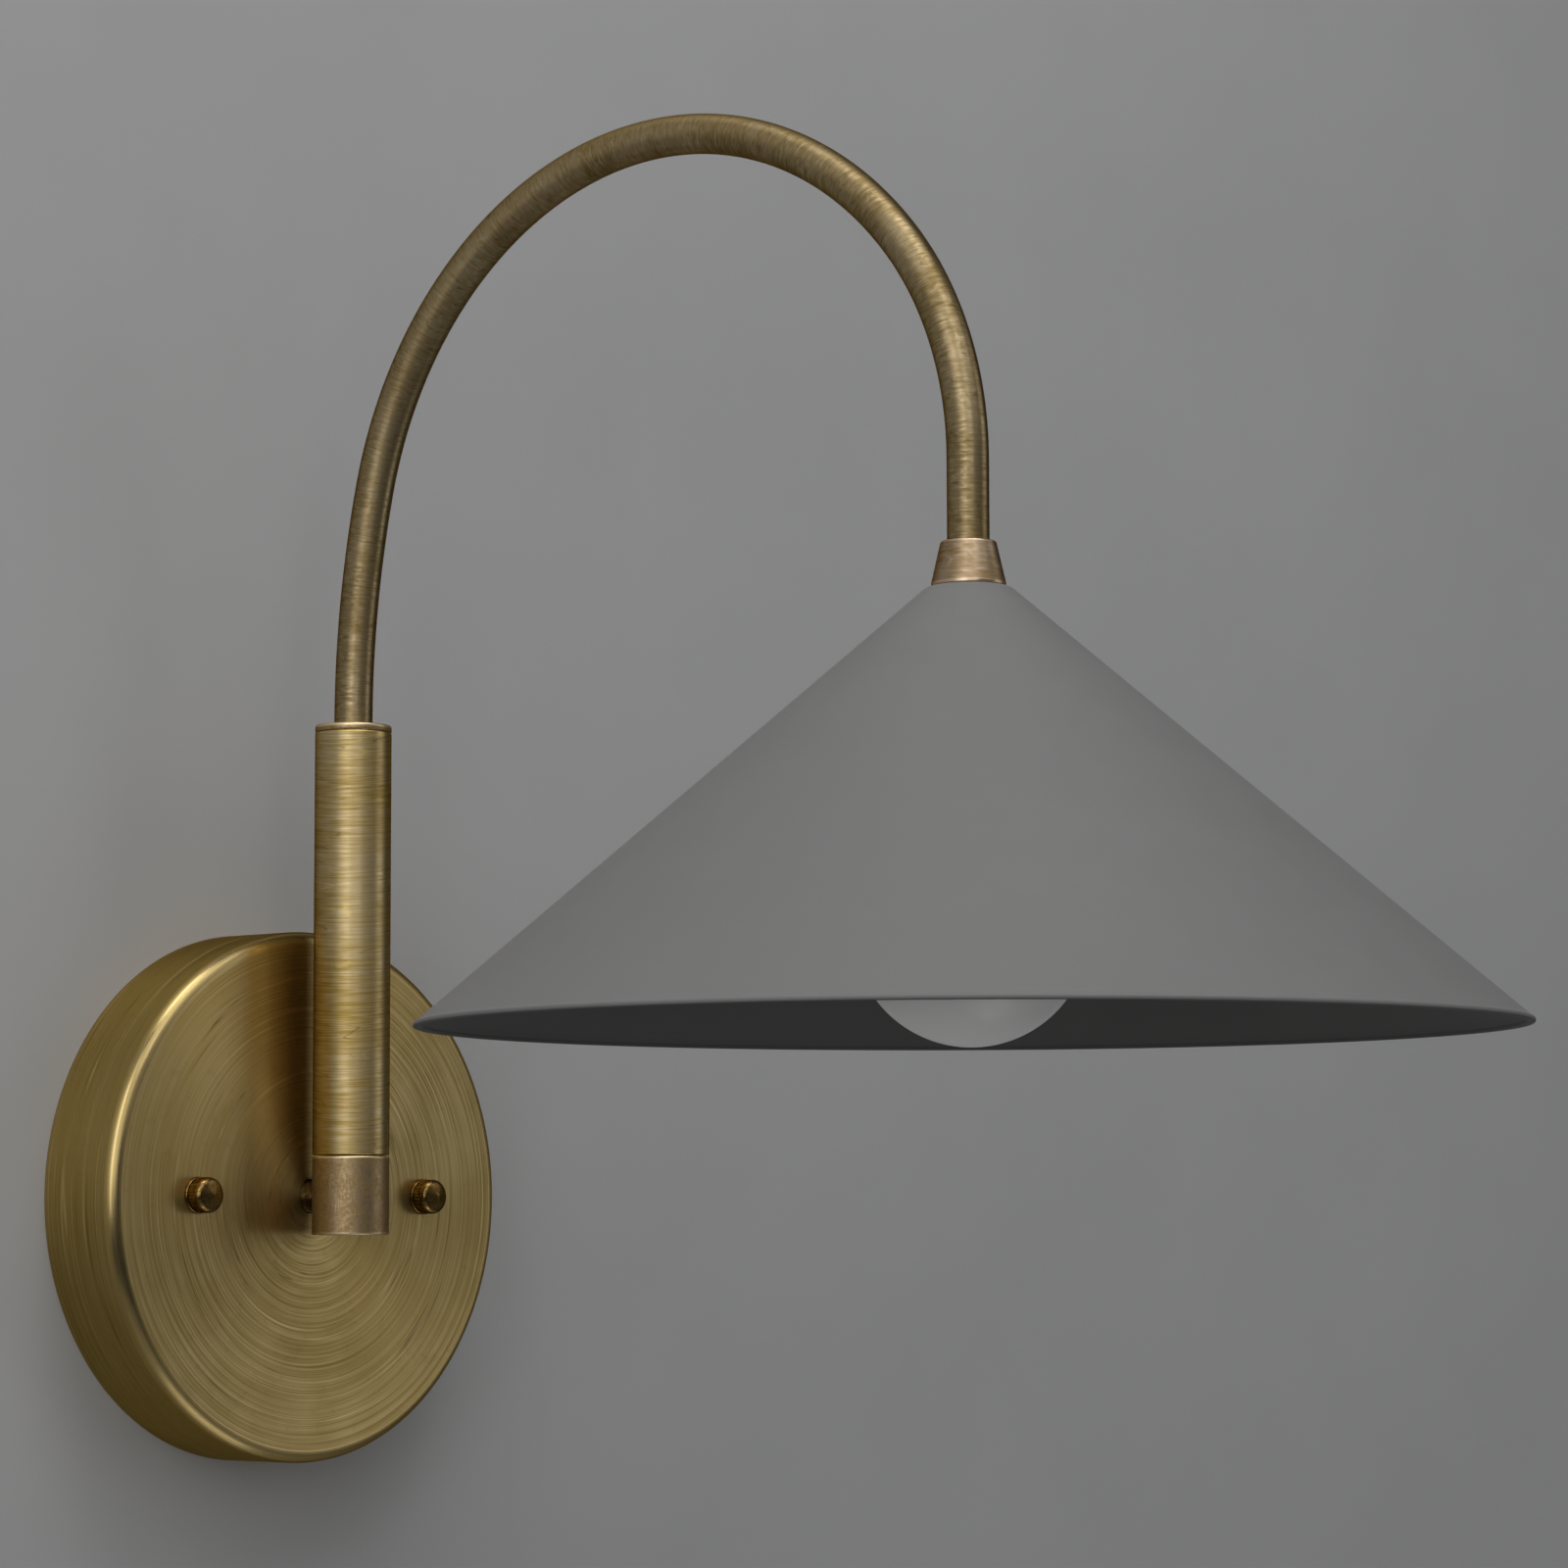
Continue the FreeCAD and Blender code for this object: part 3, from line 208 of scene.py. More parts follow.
# ------------------------------------------------------------------ geometry

class TurnedTree:
    """Geometry Nodes tree that spins an outline round its stations and repeats the result.

    Each vertex of the outline is one station: its position on the piece's axis, how far the
    surface reaches from it, how far along the outline and the axis it lies, the two directions
    across the axis, and weights for a thread, for flutes, for hexagon flats and for rims that the
    brass paints pale, partly as edge wear and partly as a painted highlight.
    """

    NUMBERS = ("reach", "along", "rise", "thread", "flute", "flats", RIM)
    WAYS = ("across", "over")
    INPUTS = {
        "Geometry": "NodeSocketGeometry", "Segments": "NodeSocketInt", "Thread Pitch": FLOAT,
        "Thread Depth": FLOAT, "Flutes": "NodeSocketInt", "Flute Depth": FLOAT,
        "Flats Apothem": FLOAT, "Copies": "NodeSocketInt", "Step": VECTOR,
        "Material": "NodeSocketMaterial",
    }
    MERGED_WITHIN = 0.0005

    def __init__(self) -> None:
        """Build the tree once."""
        self.tree = new_group("turned_piece", "GeometryNodeTree", self.INPUTS,
                              {"Geometry": "NodeSocketGeometry"})
        self.wiring = Wiring(self.tree)
        self._build()

    def identifier(self, label: str) -> str:
        """Identifier of an input socket by its name."""
        return next(item.identifier for item in self.tree.interface.items_tree
                    if item.in_out == "INPUT" and item.name == label)

    def _sampled(self, outline: Value, field_value: Value, kind: str,
                 index: Value) -> NodeSocket:
        """Value of a field of the outline at one of its vertices."""
        node = self.wiring.add("GeometryNodeSampleIndex", {"Geometry": outline, "Index": index},
                               data_type=kind, domain="POINT")
        self.wiring.feed(live(node.inputs, "Value"), field_value)
        return live(node.outputs)

    def _named(self, name: str, kind: str) -> NodeSocket:
        """Named attribute of the outline."""
        return live(self.wiring.add("GeometryNodeInputNamedAttribute", {"Name": name},
                                    data_type=kind).outputs, "Attribute")

    def _stored(self, geometry: Value, name: str, kind: str, domain: str,
                value: Value) -> NodeSocket:
        """Geometry with a value stored on it as a named attribute."""
        node = self.wiring.add("GeometryNodeStoreNamedAttribute",
                               {"Geometry": geometry, "Name": name}, data_type=kind, domain=domain)
        self.wiring.feed(live(node.inputs, "Value"), value)
        return node.outputs[0]

    def _build(self) -> None:
        """Wire the whole tree."""
        w = self.wiring
        given = w.add("NodeGroupInput").outputs
        count = w.add("GeometryNodeAttributeDomainSize", {"Geometry": given["Geometry"]},
                      component="MESH").outputs["Point Count"]
        columns = w.math("ADD", given["Segments"], 1)
        grid = w.add("GeometryNodeMeshGrid", {"Size X": 1.0, "Size Y": 1.0, "Vertices X": count,
                                              "Vertices Y": columns}).outputs["Mesh"]
        index = w.add("GeometryNodeInputIndex").outputs[0]
        row = w.math("FLOOR", w.math("DIVIDE", w.math("ADD", index, 0.5), columns))
        share = w.math("DIVIDE", w.math("SUBTRACT", index, w.product(row, columns)),
                       given["Segments"])
        angle = w.math("MULTIPLY", share, math.tau)
        sampled = {name: self._sampled(given["Geometry"], self._named(name, kind), kind, row)
                   for kind, names in (("FLOAT", self.NUMBERS), ("FLOAT_VECTOR", self.WAYS))
                   for name in names}
        place = self._sampled(given["Geometry"], w.add("GeometryNodeInputPosition").outputs[0],
                              "FLOAT_VECTOR", row)
        reach = self._shaped_reach(given, sampled, share, angle)
        spoke = w.summed(w.scaled(sampled["across"], w.math("COSINE", angle)),
                         w.scaled(sampled["over"], w.math("SINE", angle)))
        moved = w.add("GeometryNodeSetPosition",
                      {"Geometry": grid, "Position": w.summed(place, w.scaled(spoke, reach))})
        per_vertex = w.add("GeometryNodeFieldOnDomain", data_type="FLOAT_VECTOR", domain="POINT")
        w.feed(live(per_vertex.inputs), w.vector(share, sampled["along"], 0.0))
        mapped = self._stored(moved.outputs[0], MAP, "FLOAT2", "CORNER", live(per_vertex.outputs))
        # Rim weight for the pale rims: partly edge wear, partly a painted highlight.
        rims_worn_and_lit = self._stored(mapped, RIM, "FLOAT", "POINT", sampled[RIM])
        closed = w.add("GeometryNodeMergeByDistance", {"Geometry": rims_worn_and_lit,
                                                       "Distance": metres(self.MERGED_WITHIN)})
        line = w.add("GeometryNodeMeshLine", {"Count": given["Copies"], "Offset": given["Step"]},
                     mode="OFFSET")
        copies = w.add("GeometryNodeInstanceOnPoints",
                       {"Points": line.outputs[0], "Instance": closed.outputs[0]})
        real = w.add("GeometryNodeRealizeInstances", {"Geometry": copies.outputs[0]})
        dressed = w.add("GeometryNodeSetMaterial", {"Geometry": real.outputs[0],
                                                    "Material": given["Material"]})
        w.add("NodeGroupOutput", {"Geometry": dressed.outputs[0]})

    def _shaped_reach(self, given: object, sampled: dict[str, Value], share: Value,
                      angle: Value) -> NodeSocket:
        """Reach of the surface with its thread, flutes and flats cut into it."""
        w = self.wiring
        rise = w.math("DIVIDE", sampled["rise"], given["Thread Pitch"])
        turns = w.math("SUBTRACT", rise, share)
        groove = w.ranged(w.math("PINGPONG", turns, 0.5), 0.0, 0.5)
        thread = w.product(groove, sampled["thread"], given["Thread Depth"])
        flute = w.math("PINGPONG", w.product(share, given["Flutes"]), 0.5)
        fluted = w.product(flute, sampled["flute"], w.product(given["Flute Depth"], 2.0))
        reach = w.math("SUBTRACT", sampled["reach"], w.math("ADD", thread, fluted))
        sector, half = math.pi / 3, math.pi / 6
        swing = w.math("FLOORED_MODULO", w.math("ADD", angle, half), sector)
        facing = w.math("COSINE", w.math("SUBTRACT", swing, half))
        flat = w.math("MINIMUM", reach, w.math("DIVIDE", given["Flats Apothem"], facing))
        change = w.product(w.math("SUBTRACT", flat, reach), sampled["flats"])
        return w.math("ADD", reach, change)


@dataclass(frozen=True)
class Corner:
    """Corner of an outline, in millimetres, with how the surface is worked from it onwards."""

    radius: float
    height: float
    rounding: float = 0.0
    thread: bool = False
    flute: bool = False
    flats: bool = False


@dataclass
class Station:
    """One refined point of an outline, in millimetres."""

    radius: float
    height: float
    rim: float
    thread: float
    flute: float
    flats: float


class Outline:
    """Outline of a turned piece, with rounded corners and fine steps where it is threaded."""

    ARC_STEPS = 6
    RIM_MARK_REACH = 0.35
    THREAD_RUNOUT = 0.8
    FLUTE_RUNOUT = 0.3
    FINE_THREAD_RADIUS = 8.0
    FINE_THREAD_PACE = 0.1
    LAMP_THREAD_STEPS = 12

    def __init__(self, corners: list[Corner], step: float | None = None) -> None:
        """Refine the corners.

        Args:
            corners: The outline's corners in order, either way round.
            step: Longest step along the outline, in millimetres, or None for no limit.
        """
        area = sum(a.radius * b.height - b.radius * a.height
                   for a, b in zip(corners, corners[1:] + corners[:1]))
        self.corners = corners
        self.turned_round = area > 0
        self.open = corners[0].radius == 0 and corners[-1].radius == 0
        self.stations = self._refined(step)

    def _refined(self, step: float | None) -> list[Station]:
        """Stations of the whole outline, clockwise seen with the axis at the left."""
        stations: list[Station] = []
        count = len(self.corners)
        for index, corner in enumerate(self.corners):
            before = self.corners[index - 1]
            after = self.corners[(index + 1) % count]
            end = self.open and index in (0, count - 1)
            stations += self._corner_stations(before, corner, after, end)
            if not (self.open and index == count - 1):
                following = self.corners[(index + 2) % count]
                ahead = self._corner_stations(corner, after, following,
                                              self.open and index == count - 2)
                stations += self._run(stations[-1], ahead[0], corner, step)
        if not self.open:
            stations.append(stations[0])
        if self.turned_round:
            stations.reverse()
        return stations

    def _corner_stations(self, before: Corner, corner: Corner, after: Corner,
                         end: bool) -> list[Station]:
        """One sharp point, or the arc that rounds a corner."""
        here = Vector((corner.radius, corner.height))
        marks = (0.0, float(corner.flute), float(corner.flats))
        if end or corner.rounding <= 0:
            return [Station(here.x, here.y, 0.0, *marks)]
        back = (Vector((before.radius, before.height)) - here).normalized()
        on = (Vector((after.radius, after.height)) - here).normalized()
        half = back.angle(on) / 2
        reach = corner.rounding / math.tan(half)
        centre = here + (back + on).normalized() * (corner.rounding / math.sin(half))
        start, stop = here + back * reach - centre, here + on * reach - centre
        sweep = start.angle_signed(stop)
        arc = []
        for number in range(self.ARC_STEPS + 1):
            turn = Matrix.Rotation(-sweep * number / self.ARC_STEPS, 2)
            point = centre + turn @ start
            # Arc stations carry a full rim weight, which the brass paints pale: partly edge wear,
            # partly a painted highlight.
            arc.append(Station(point.x, point.y, 1.0, *marks))
        return arc

    def _run(self, start: Station, stop: Station, corner: Corner,
             step: float | None) -> list[Station]:
        """Stations between two corners: limits of the worn and highlighted rims, and fine steps
        where asked.
        """
        length = math.hypot(stop.radius - start.radius, stop.height - start.height)
        places: set[float] = set()
        if length > 3 * self.RIM_MARK_REACH:
            places |= {self.RIM_MARK_REACH, length - self.RIM_MARK_REACH}
        pace = step or length
        if corner.thread:
            coarse = corner.radius > self.FINE_THREAD_RADIUS
            pace = min(pace, LAMP_PITCH / self.LAMP_THREAD_STEPS if coarse
                       else self.FINE_THREAD_PACE)
        number = max(1, math.ceil(length / pace))
        places |= {length * index / number for index in range(1, number)}
        run = []
        for place in sorted(places):
            share = place / length
            lead = min(place, length - place)
            run.append(Station(
                start.radius + (stop.radius - start.radius) * share,
                start.height + (stop.height - start.height) * share, 0.0,
                corner.thread * min(1.0, lead / self.THREAD_RUNOUT),
                corner.flute * min(1.0, lead / self.FLUTE_RUNOUT), float(corner.flats)))
        return run


class Spine(Enum):
    """Which way a straight piece's own axis runs."""

    UP = ((0, 0, 1), (1, 0, 0), (0, 1, 0))
    FROM_WALL = ((0, -1, 0), (1, 0, 0), (0, 0, 1))

    def place(self, foot: Vector, height: float) -> tuple[Vector, Vector, Vector]:
        """Point on the axis at a height in millimetres, and the two ways across it."""
        along, across, over = (Vector(part) for part in self.value)
        return foot + along * metres(height), across, over


@dataclass
class BentSpine:
    """Axis made of a straight foot, tangent arcs and a straight drop, in the plane X = 0."""

    foot: Vector
    rise: float
    bends: tuple[tuple[float, float], ...]
    drop: float = 0.0

    def length(self) -> float:
        """Length of the axis in millimetres."""
        return self.rise + sum(r * math.radians(a) for r, a in self.bends) + self.drop

    def place(self, _foot: Vector, height: float) -> tuple[Vector, Vector, Vector]:
        """Point at a length along the axis in millimetres, and the two ways across it."""
        y, z, turned = 0.0, min(height, self.rise), 0.0
        left = height - self.rise
        for radius, angle in self.bends:
            if left <= 0:
                break
            part = min(left / radius, math.radians(angle))
            y += radius * (math.cos(turned + part) - math.cos(turned))
            z += radius * (math.sin(turned + part) - math.sin(turned))
            turned += part
            left -= radius * part
        if left > 0:
            y += left * -math.sin(turned)
            z += left * math.cos(turned)
        heading = Vector((0, -math.sin(turned), math.cos(turned)))
        across = Vector((1, 0, 0))
        return self.foot + Vector((0, metres(y), metres(z))), across, heading.cross(across)


@dataclass(frozen=True)
class Working:
    """How a turned piece is worked and repeated, in millimetres."""

    segments: int = 128
    thread_pitch: float = 1.0
    thread_depth: float = 0.0
    flutes: int = 1
    flute_depth: float = 0.0
    flats: float = 100.0
    copies: int = 1
    step: tuple[float, float, float] = (0.0, 0.0, 0.0)
    sharp_degrees: float = 32.0


class Lathe:
    """Makes turned pieces from outlines, and hangs them on the frame."""

    def __init__(self) -> None:
        """Build the shared tree."""
        self.turned = TurnedTree()

    def make(self, name: str, outline: Outline, spine: Spine | BentSpine, foot: Vector,
             material: Material, working: Working = Working()) -> Object:
        """Spin an outline into a plain mesh object.

        Args:
            name: Name of the piece.
            outline: Its outline in millimetres.
            spine: The axis it is spun about.
            foot: Where the axis starts, in metres.
            material: What it is dressed in.
            working: Thread, flutes, flats and copies.

        Returns:
            The finished object, at the origin.
        """
        mesh = self._stations_mesh(name, outline, spine, foot)
        piece = bpy.data.objects.new(name, mesh)
        bpy.context.scene.collection.objects.link(piece)
        modifier = piece.modifiers.new("turning", "NODES")
        modifier.node_group = self.turned.tree
        given = {
            "Segments": working.segments, "Thread Pitch": metres(working.thread_pitch),
            "Thread Depth": metres(working.thread_depth), "Flutes": working.flutes,
            "Flute Depth": metres(working.flute_depth), "Flats Apothem": metres(working.flats),
            "Copies": working.copies, "Step": [metres(x) for x in working.step],
            "Material": material,
        }
        for label, value in given.items():
            modifier[self.turned.identifier(label)] = value
        graph = bpy.context.evaluated_depsgraph_get()
        made = bpy.data.meshes.new_from_object(piece.evaluated_get(graph))
        piece.modifiers.clear()
        piece.data = made
        made.name = name
        made.materials.clear()
        made.materials.append(material)
        finish_mesh(piece, working.sharp_degrees)
        return piece

    @staticmethod
    def _stations_mesh(name: str, outline: Outline, spine: Spine | BentSpine,
                       foot: Vector) -> Mesh:
        """Line of vertices that carries the stations as attributes."""
        mesh = bpy.data.meshes.new(name + "_outline")
        spots = [spine.place(foot, station.height) for station in outline.stations]
        mesh.from_pydata([spot[0] for spot in spots],
                         [(i, i + 1) for i in range(len(spots) - 1)], [])
        along, total = [], 0.0
        for before, station in zip([outline.stations[0]] + outline.stations, outline.stations):
            total += math.hypot(station.radius - before.radius, station.height - before.height)
            along.append(metres(total))
        axis = 2 if spine is Spine.UP else 1
        numbers = {
            "reach": [metres(s.radius) for s in outline.stations], "along": along,
            "rise": [abs(spot[0][axis]) for spot in spots],
            **{label: [getattr(s, label) for s in outline.stations]
               for label in ("thread", "flute", "flats", RIM)},
        }
        for label, values in numbers.items():
            mesh.attributes.new(label, "FLOAT", "POINT").data.foreach_set("value", values)
        for number, label in ((1, "across"), (2, "over")):
            flat = [part for spot in spots for part in spot[number]]
            mesh.attributes.new(label, "FLOAT_VECTOR", "POINT").data.foreach_set("vector", flat)
        return mesh


def finish_mesh(piece: Object, sharp_degrees: float) -> None:
    """Clear stray edges, smooth all but sharp ones, and stop if the mesh is inside out."""
    mesh = piece.data
    probe = bmesh.new()
    probe.from_mesh(mesh)
    for edge in [edge for edge in probe.edges if not edge.link_faces]:
        probe.edges.remove(edge)
    for vert in [vert for vert in probe.verts if not vert.link_faces]:
        probe.verts.remove(vert)
    probe.to_mesh(mesh)
    volume = probe.calc_volume(signed=True)
    loose = sum(1 for edge in probe.edges if not edge.is_manifold)
    probe.free()
    if volume <= 0:
        raise ValueError(f"{piece.name} is inside out: {volume}")
    mesh.shade_smooth()
    mesh.set_sharp_from_angle(angle=math.radians(sharp_degrees))
    log.info("%s: %d faces, %.1f cm3, %d open edges", piece.name, len(mesh.polygons), volume * 1e6,
             loose)


# ------------------------------------------------------------------ finishes

class Effects:
    """Shader node groups that several finishes share."""

    OUT_OF_ROUND = 0.6
    HAIR_STROKE, HAIR_LINES = 2.5, 0.4
    BOLD_STROKE, BOLD_ROUGHNESS = 0.7, 0.4
    GATE_SCALE, GATE_LEVELS = 1.7, (0.42, 0.58)
    SCRATCH_LEVEL, SHINE_LEVEL = 0.5, 0.43
    SPOT_LEVELS = (0.62, 0.72)

    def __init__(self) -> None:
        """Build every group once."""
        self.turning = self._turning_marks()
        self.patina = self._noises("patina", {"Cloud": (1.0, 3.0, 0.6), "Spots": (9.0, 2.0, 0.5)},
                                   {"Spots": self.SPOT_LEVELS})
        self.texture = self._noises("fine_texture", {"Tone": (0.05, 4.0, 0.6),
                                                     "Height": (1.0, 2.0, 0.5)}, {})

    def _turning_marks(self) -> NodeTree:
        """Fine brushing round a turned piece, with bolder stray scratches."""
        tree = new_group(
            "turning_marks", "ShaderNodeTree",
            {"Map": VECTOR, **dict.fromkeys(
                ("Lines", "Stroke", "Tilt", "Scratch Lines", "Scratch Width"), FLOAT)},
            dict.fromkeys(("Grain", "Scratch", "Shine", "Height"), FLOAT))
        w = Wiring(tree)
        given = w.add("NodeGroupInput").outputs
        parts = w.add("ShaderNodeSeparateXYZ", {"Vector": given["Map"]}).outputs
        angle = w.product(parts[0], math.tau)
        cosine, sine = w.math("COSINE", angle), w.math("SINE", angle)
        lean = w.product(w.math("ADD", cosine, w.product(sine, self.OUT_OF_ROUND)), given["Tilt"])
        along = w.math("ADD", parts[1], lean)
        round_x, round_y = w.product(cosine, given["Stroke"]), w.product(sine, given["Stroke"])

        def brushed(stroke: float, height: Value, roughness: float = 0.55) -> NodeSocket:
            """Noise drawn out round the axis."""
            at = w.vector(w.product(round_x, stroke), w.product(round_y, stroke), height)
            return w.noise(at, 1.0, 1.0, roughness)

        def stray(level: float) -> NodeSocket:
            """Thin lines where the bold noise crosses a level."""
            off = w.math("ABSOLUTE", w.math("SUBTRACT", bold, level))
            line = w.math("SUBTRACT", 1.0, w.math("DIVIDE", off, given["Scratch Width"]),
                          clamp=True)
            return w.product(line, gate)

        lined, lay = w.product(along, given["Lines"]), w.product(along, given["Scratch Lines"])
        fine = brushed(1.0, lined)
        hair = brushed(self.HAIR_STROKE, w.product(lined, self.HAIR_LINES))
        grain = w.product(w.math("ADD", fine, hair), 0.5)
        bold = brushed(self.BOLD_STROKE, lay, self.BOLD_ROUGHNESS)
        gate = w.ranged(w.noise(w.vector(cosine, sine, lay), self.GATE_SCALE, 1.0),
                        *self.GATE_LEVELS)
        scratch = stray(self.SCRATCH_LEVEL)
        w.add("NodeGroupOutput", {"Grain": grain, "Scratch": scratch,
                                  "Shine": stray(self.SHINE_LEVEL),
                                  "Height": w.math("SUBTRACT", grain, scratch)})
        return tree

    @staticmethod
    def _noises(name: str, noises: dict[str, tuple[float, float, float]],
                levels: dict[str, tuple[float, float]]) -> NodeTree:
        """Group of noises over a place.

        Args:
            name: Name of the group.
            noises: Scale, detail and roughness of each output's noise.
            levels: Where an output rises from nothing to full, if it isn't the noise itself.

        Returns:
            The tree of the group.
        """
        tree = new_group(name, "ShaderNodeTree", {"Vector": VECTOR, "Scale": FLOAT},
                         dict.fromkeys(noises, FLOAT))
        w = Wiring(tree)
        given = w.add("NodeGroupInput").outputs
        at = w.scaled(given["Vector"], given["Scale"])
        values = {label: w.noise(at, *noise) for label, noise in noises.items()}
        for label, ends in levels.items():
            values[label] = w.ranged(values[label], *ends)
        w.add("NodeGroupOutput", values)
        return tree


Colour = tuple[float, float, float]


def opaque(colour: Colour) -> tuple[float, float, float, float]:
    """Colour with full alpha."""
    return (*colour, 1.0)


def new_material(name: str) -> tuple[Material, Wiring, Node]:
    """Empty node material.

    Args:
        name: Name of the material.

    Returns:
        The material, the wiring of its tree and its Principled shader.
    """
    material = bpy.data.materials.new(name)
    material.use_nodes = True
    wiring = Wiring(material.node_tree)
    shader = material.node_tree.nodes["Principled BSDF"]
    return material, wiring, shader


@dataclass(frozen=True)
class BrushedBrass:
    """Antique brass brushed round the piece."""

    name: str
    light: Colour
    dark: Colour
    # Pale colour of worn scratches and of rounded rims; on the rims it is partly edge wear and
    # partly a painted highlight.
    edge: Colour
    roughness: float
    anisotropy: float
    lines: float = 1500.0
    stroke: float = 1.6
    tilt: float = 0.0
    scratch_lines: float = 90.0
    scratch_width: float = 0.02
    scratch_dark: float = 0.45
    patina_scale: float = 40.0
    bump: float = 0.12
    spread: float = 0.22
    spots: float = 0.15
    rim_wear_and_highlight: float = 0.5
    grazing: Colour = (0.25, 0.16, 0.06)

    GRAIN_SHARE, CLOUD_SHARE = 0.65, 0.35
    SCRATCH_SHADE = 0.35
    DULLED, POLISHED, RIM_POLISHED = 0.16, 0.08, 0.10
    QUARTER_TURN = 0.25
    BRUSHING_DEPTH = 0.06

    def make(self, effects: Effects) -> Material:
        """Build the material.

        Args:
            effects: The shared shader groups.

        Returns:
            The material.
        """
        material, w, shader = new_material(self.name)
        mapped = w.add("ShaderNodeUVMap", uv_map=MAP).outputs[0]
        marks = w.add("ShaderNodeGroup", {
            "Map": mapped, "Lines": self.lines, "Stroke": self.stroke, "Tilt": self.tilt,
            "Scratch Lines": self.scratch_lines, "Scratch Width": self.scratch_width,
        }, node_tree=effects.turning).outputs
        patina = w.over_object(effects.patina, self.patina_scale)
        tone = w.math("ADD", w.product(marks["Grain"], self.GRAIN_SHARE),
                      w.product(patina["Cloud"], self.CLOUD_SHARE))
        ends = (0.5 - self.spread, 0.5 + self.spread)
        colour = w.mixed(w.ranged(tone, *ends), opaque(self.dark), opaque(self.light))
        dull = w.math("MAXIMUM", marks["Scratch"], w.product(patina["Spots"], self.spots))
        colour = w.mixed(w.product(dull, self.scratch_dark), colour,
                         opaque(tuple(self.SCRATCH_SHADE * part for part in self.dark)))
        # Rounded rims are mixed towards the pale edge colour: partly edge wear, partly a painted
        # highlight.
        rim = w.add("ShaderNodeAttribute", attribute_name=RIM).outputs["Fac"]
        for pale_mark, share in ((marks["Shine"], self.scratch_dark), (rim, self.rim_wear_and_highlight)):
            colour = w.mixed(w.product(pale_mark, share), colour, opaque(self.edge))
        rough = w.ranged(tone, *ends, self.roughness + self.DULLED, self.roughness - self.POLISHED)
        tangent = w.add("ShaderNodeTangent", direction_type="UV_MAP", uv_map=MAP).outputs[0]
        w.fill(shader, {
            "Base Color": colour, "Tangent": tangent, "Metallic": 1.0,
            "Roughness": w.math("SUBTRACT", rough, w.product(rim, self.RIM_POLISHED)),
            "Specular Tint": opaque(self.grazing), "Anisotropic": self.anisotropy,
            "Anisotropic Rotation": self.QUARTER_TURN,
        })
        w.emboss(shader, self.bump, self.BRUSHING_DEPTH, marks["Height"])
        return material


@dataclass(frozen=True)
class PlainFinish:
    """Even finish of a plain metal, a moulding, a glaze or a paint."""

    name: str
    light: Colour
    dark: Colour
    roughness: float
    metallic: float = 0.0
    coat: float = 0.0
    texture_scale: float = 900.0
    patina_scale: float = 60.0
    bump: float = 0.06
    subsurface: float = 0.0
    specular: float = 0.5

    TONE_LEVELS = (0.36, 0.64)
    ROUGHNESS_RANGE = 0.12
    TEXTURE_DEPTH = 0.05
    SCATTER_REACH = 2.0

    def make(self, effects: Effects) -> Material:
        """Build the material.

        Args:
            effects: The shared shader groups.

        Returns:
            The material.
        """
        material, w, shader = new_material(self.name)
        texture = w.over_object(effects.texture, self.texture_scale)
        patina = w.over_object(effects.patina, self.patina_scale)
        tone = w.math("ADD", w.product(texture["Tone"], 0.5), w.product(patina["Cloud"], 0.5))
        w.fill(shader, {
            "Base Color": w.mixed(w.ranged(tone, *self.TONE_LEVELS), opaque(self.dark),
                                  opaque(self.light)),
            "Roughness": w.math("ADD", w.product(texture["Tone"], self.ROUGHNESS_RANGE),
                                self.roughness - self.ROUGHNESS_RANGE / 2),
            "Metallic": self.metallic, "Coat Weight": self.coat,
            "Subsurface Weight": self.subsurface, "Specular IOR Level": self.specular,
            "Subsurface Scale": metres(self.SCATTER_REACH), "Subsurface Radius": (1.0, 1.0, 1.0),
        })
        w.emboss(shader, self.bump, self.TEXTURE_DEPTH, texture["Height"])
        return material


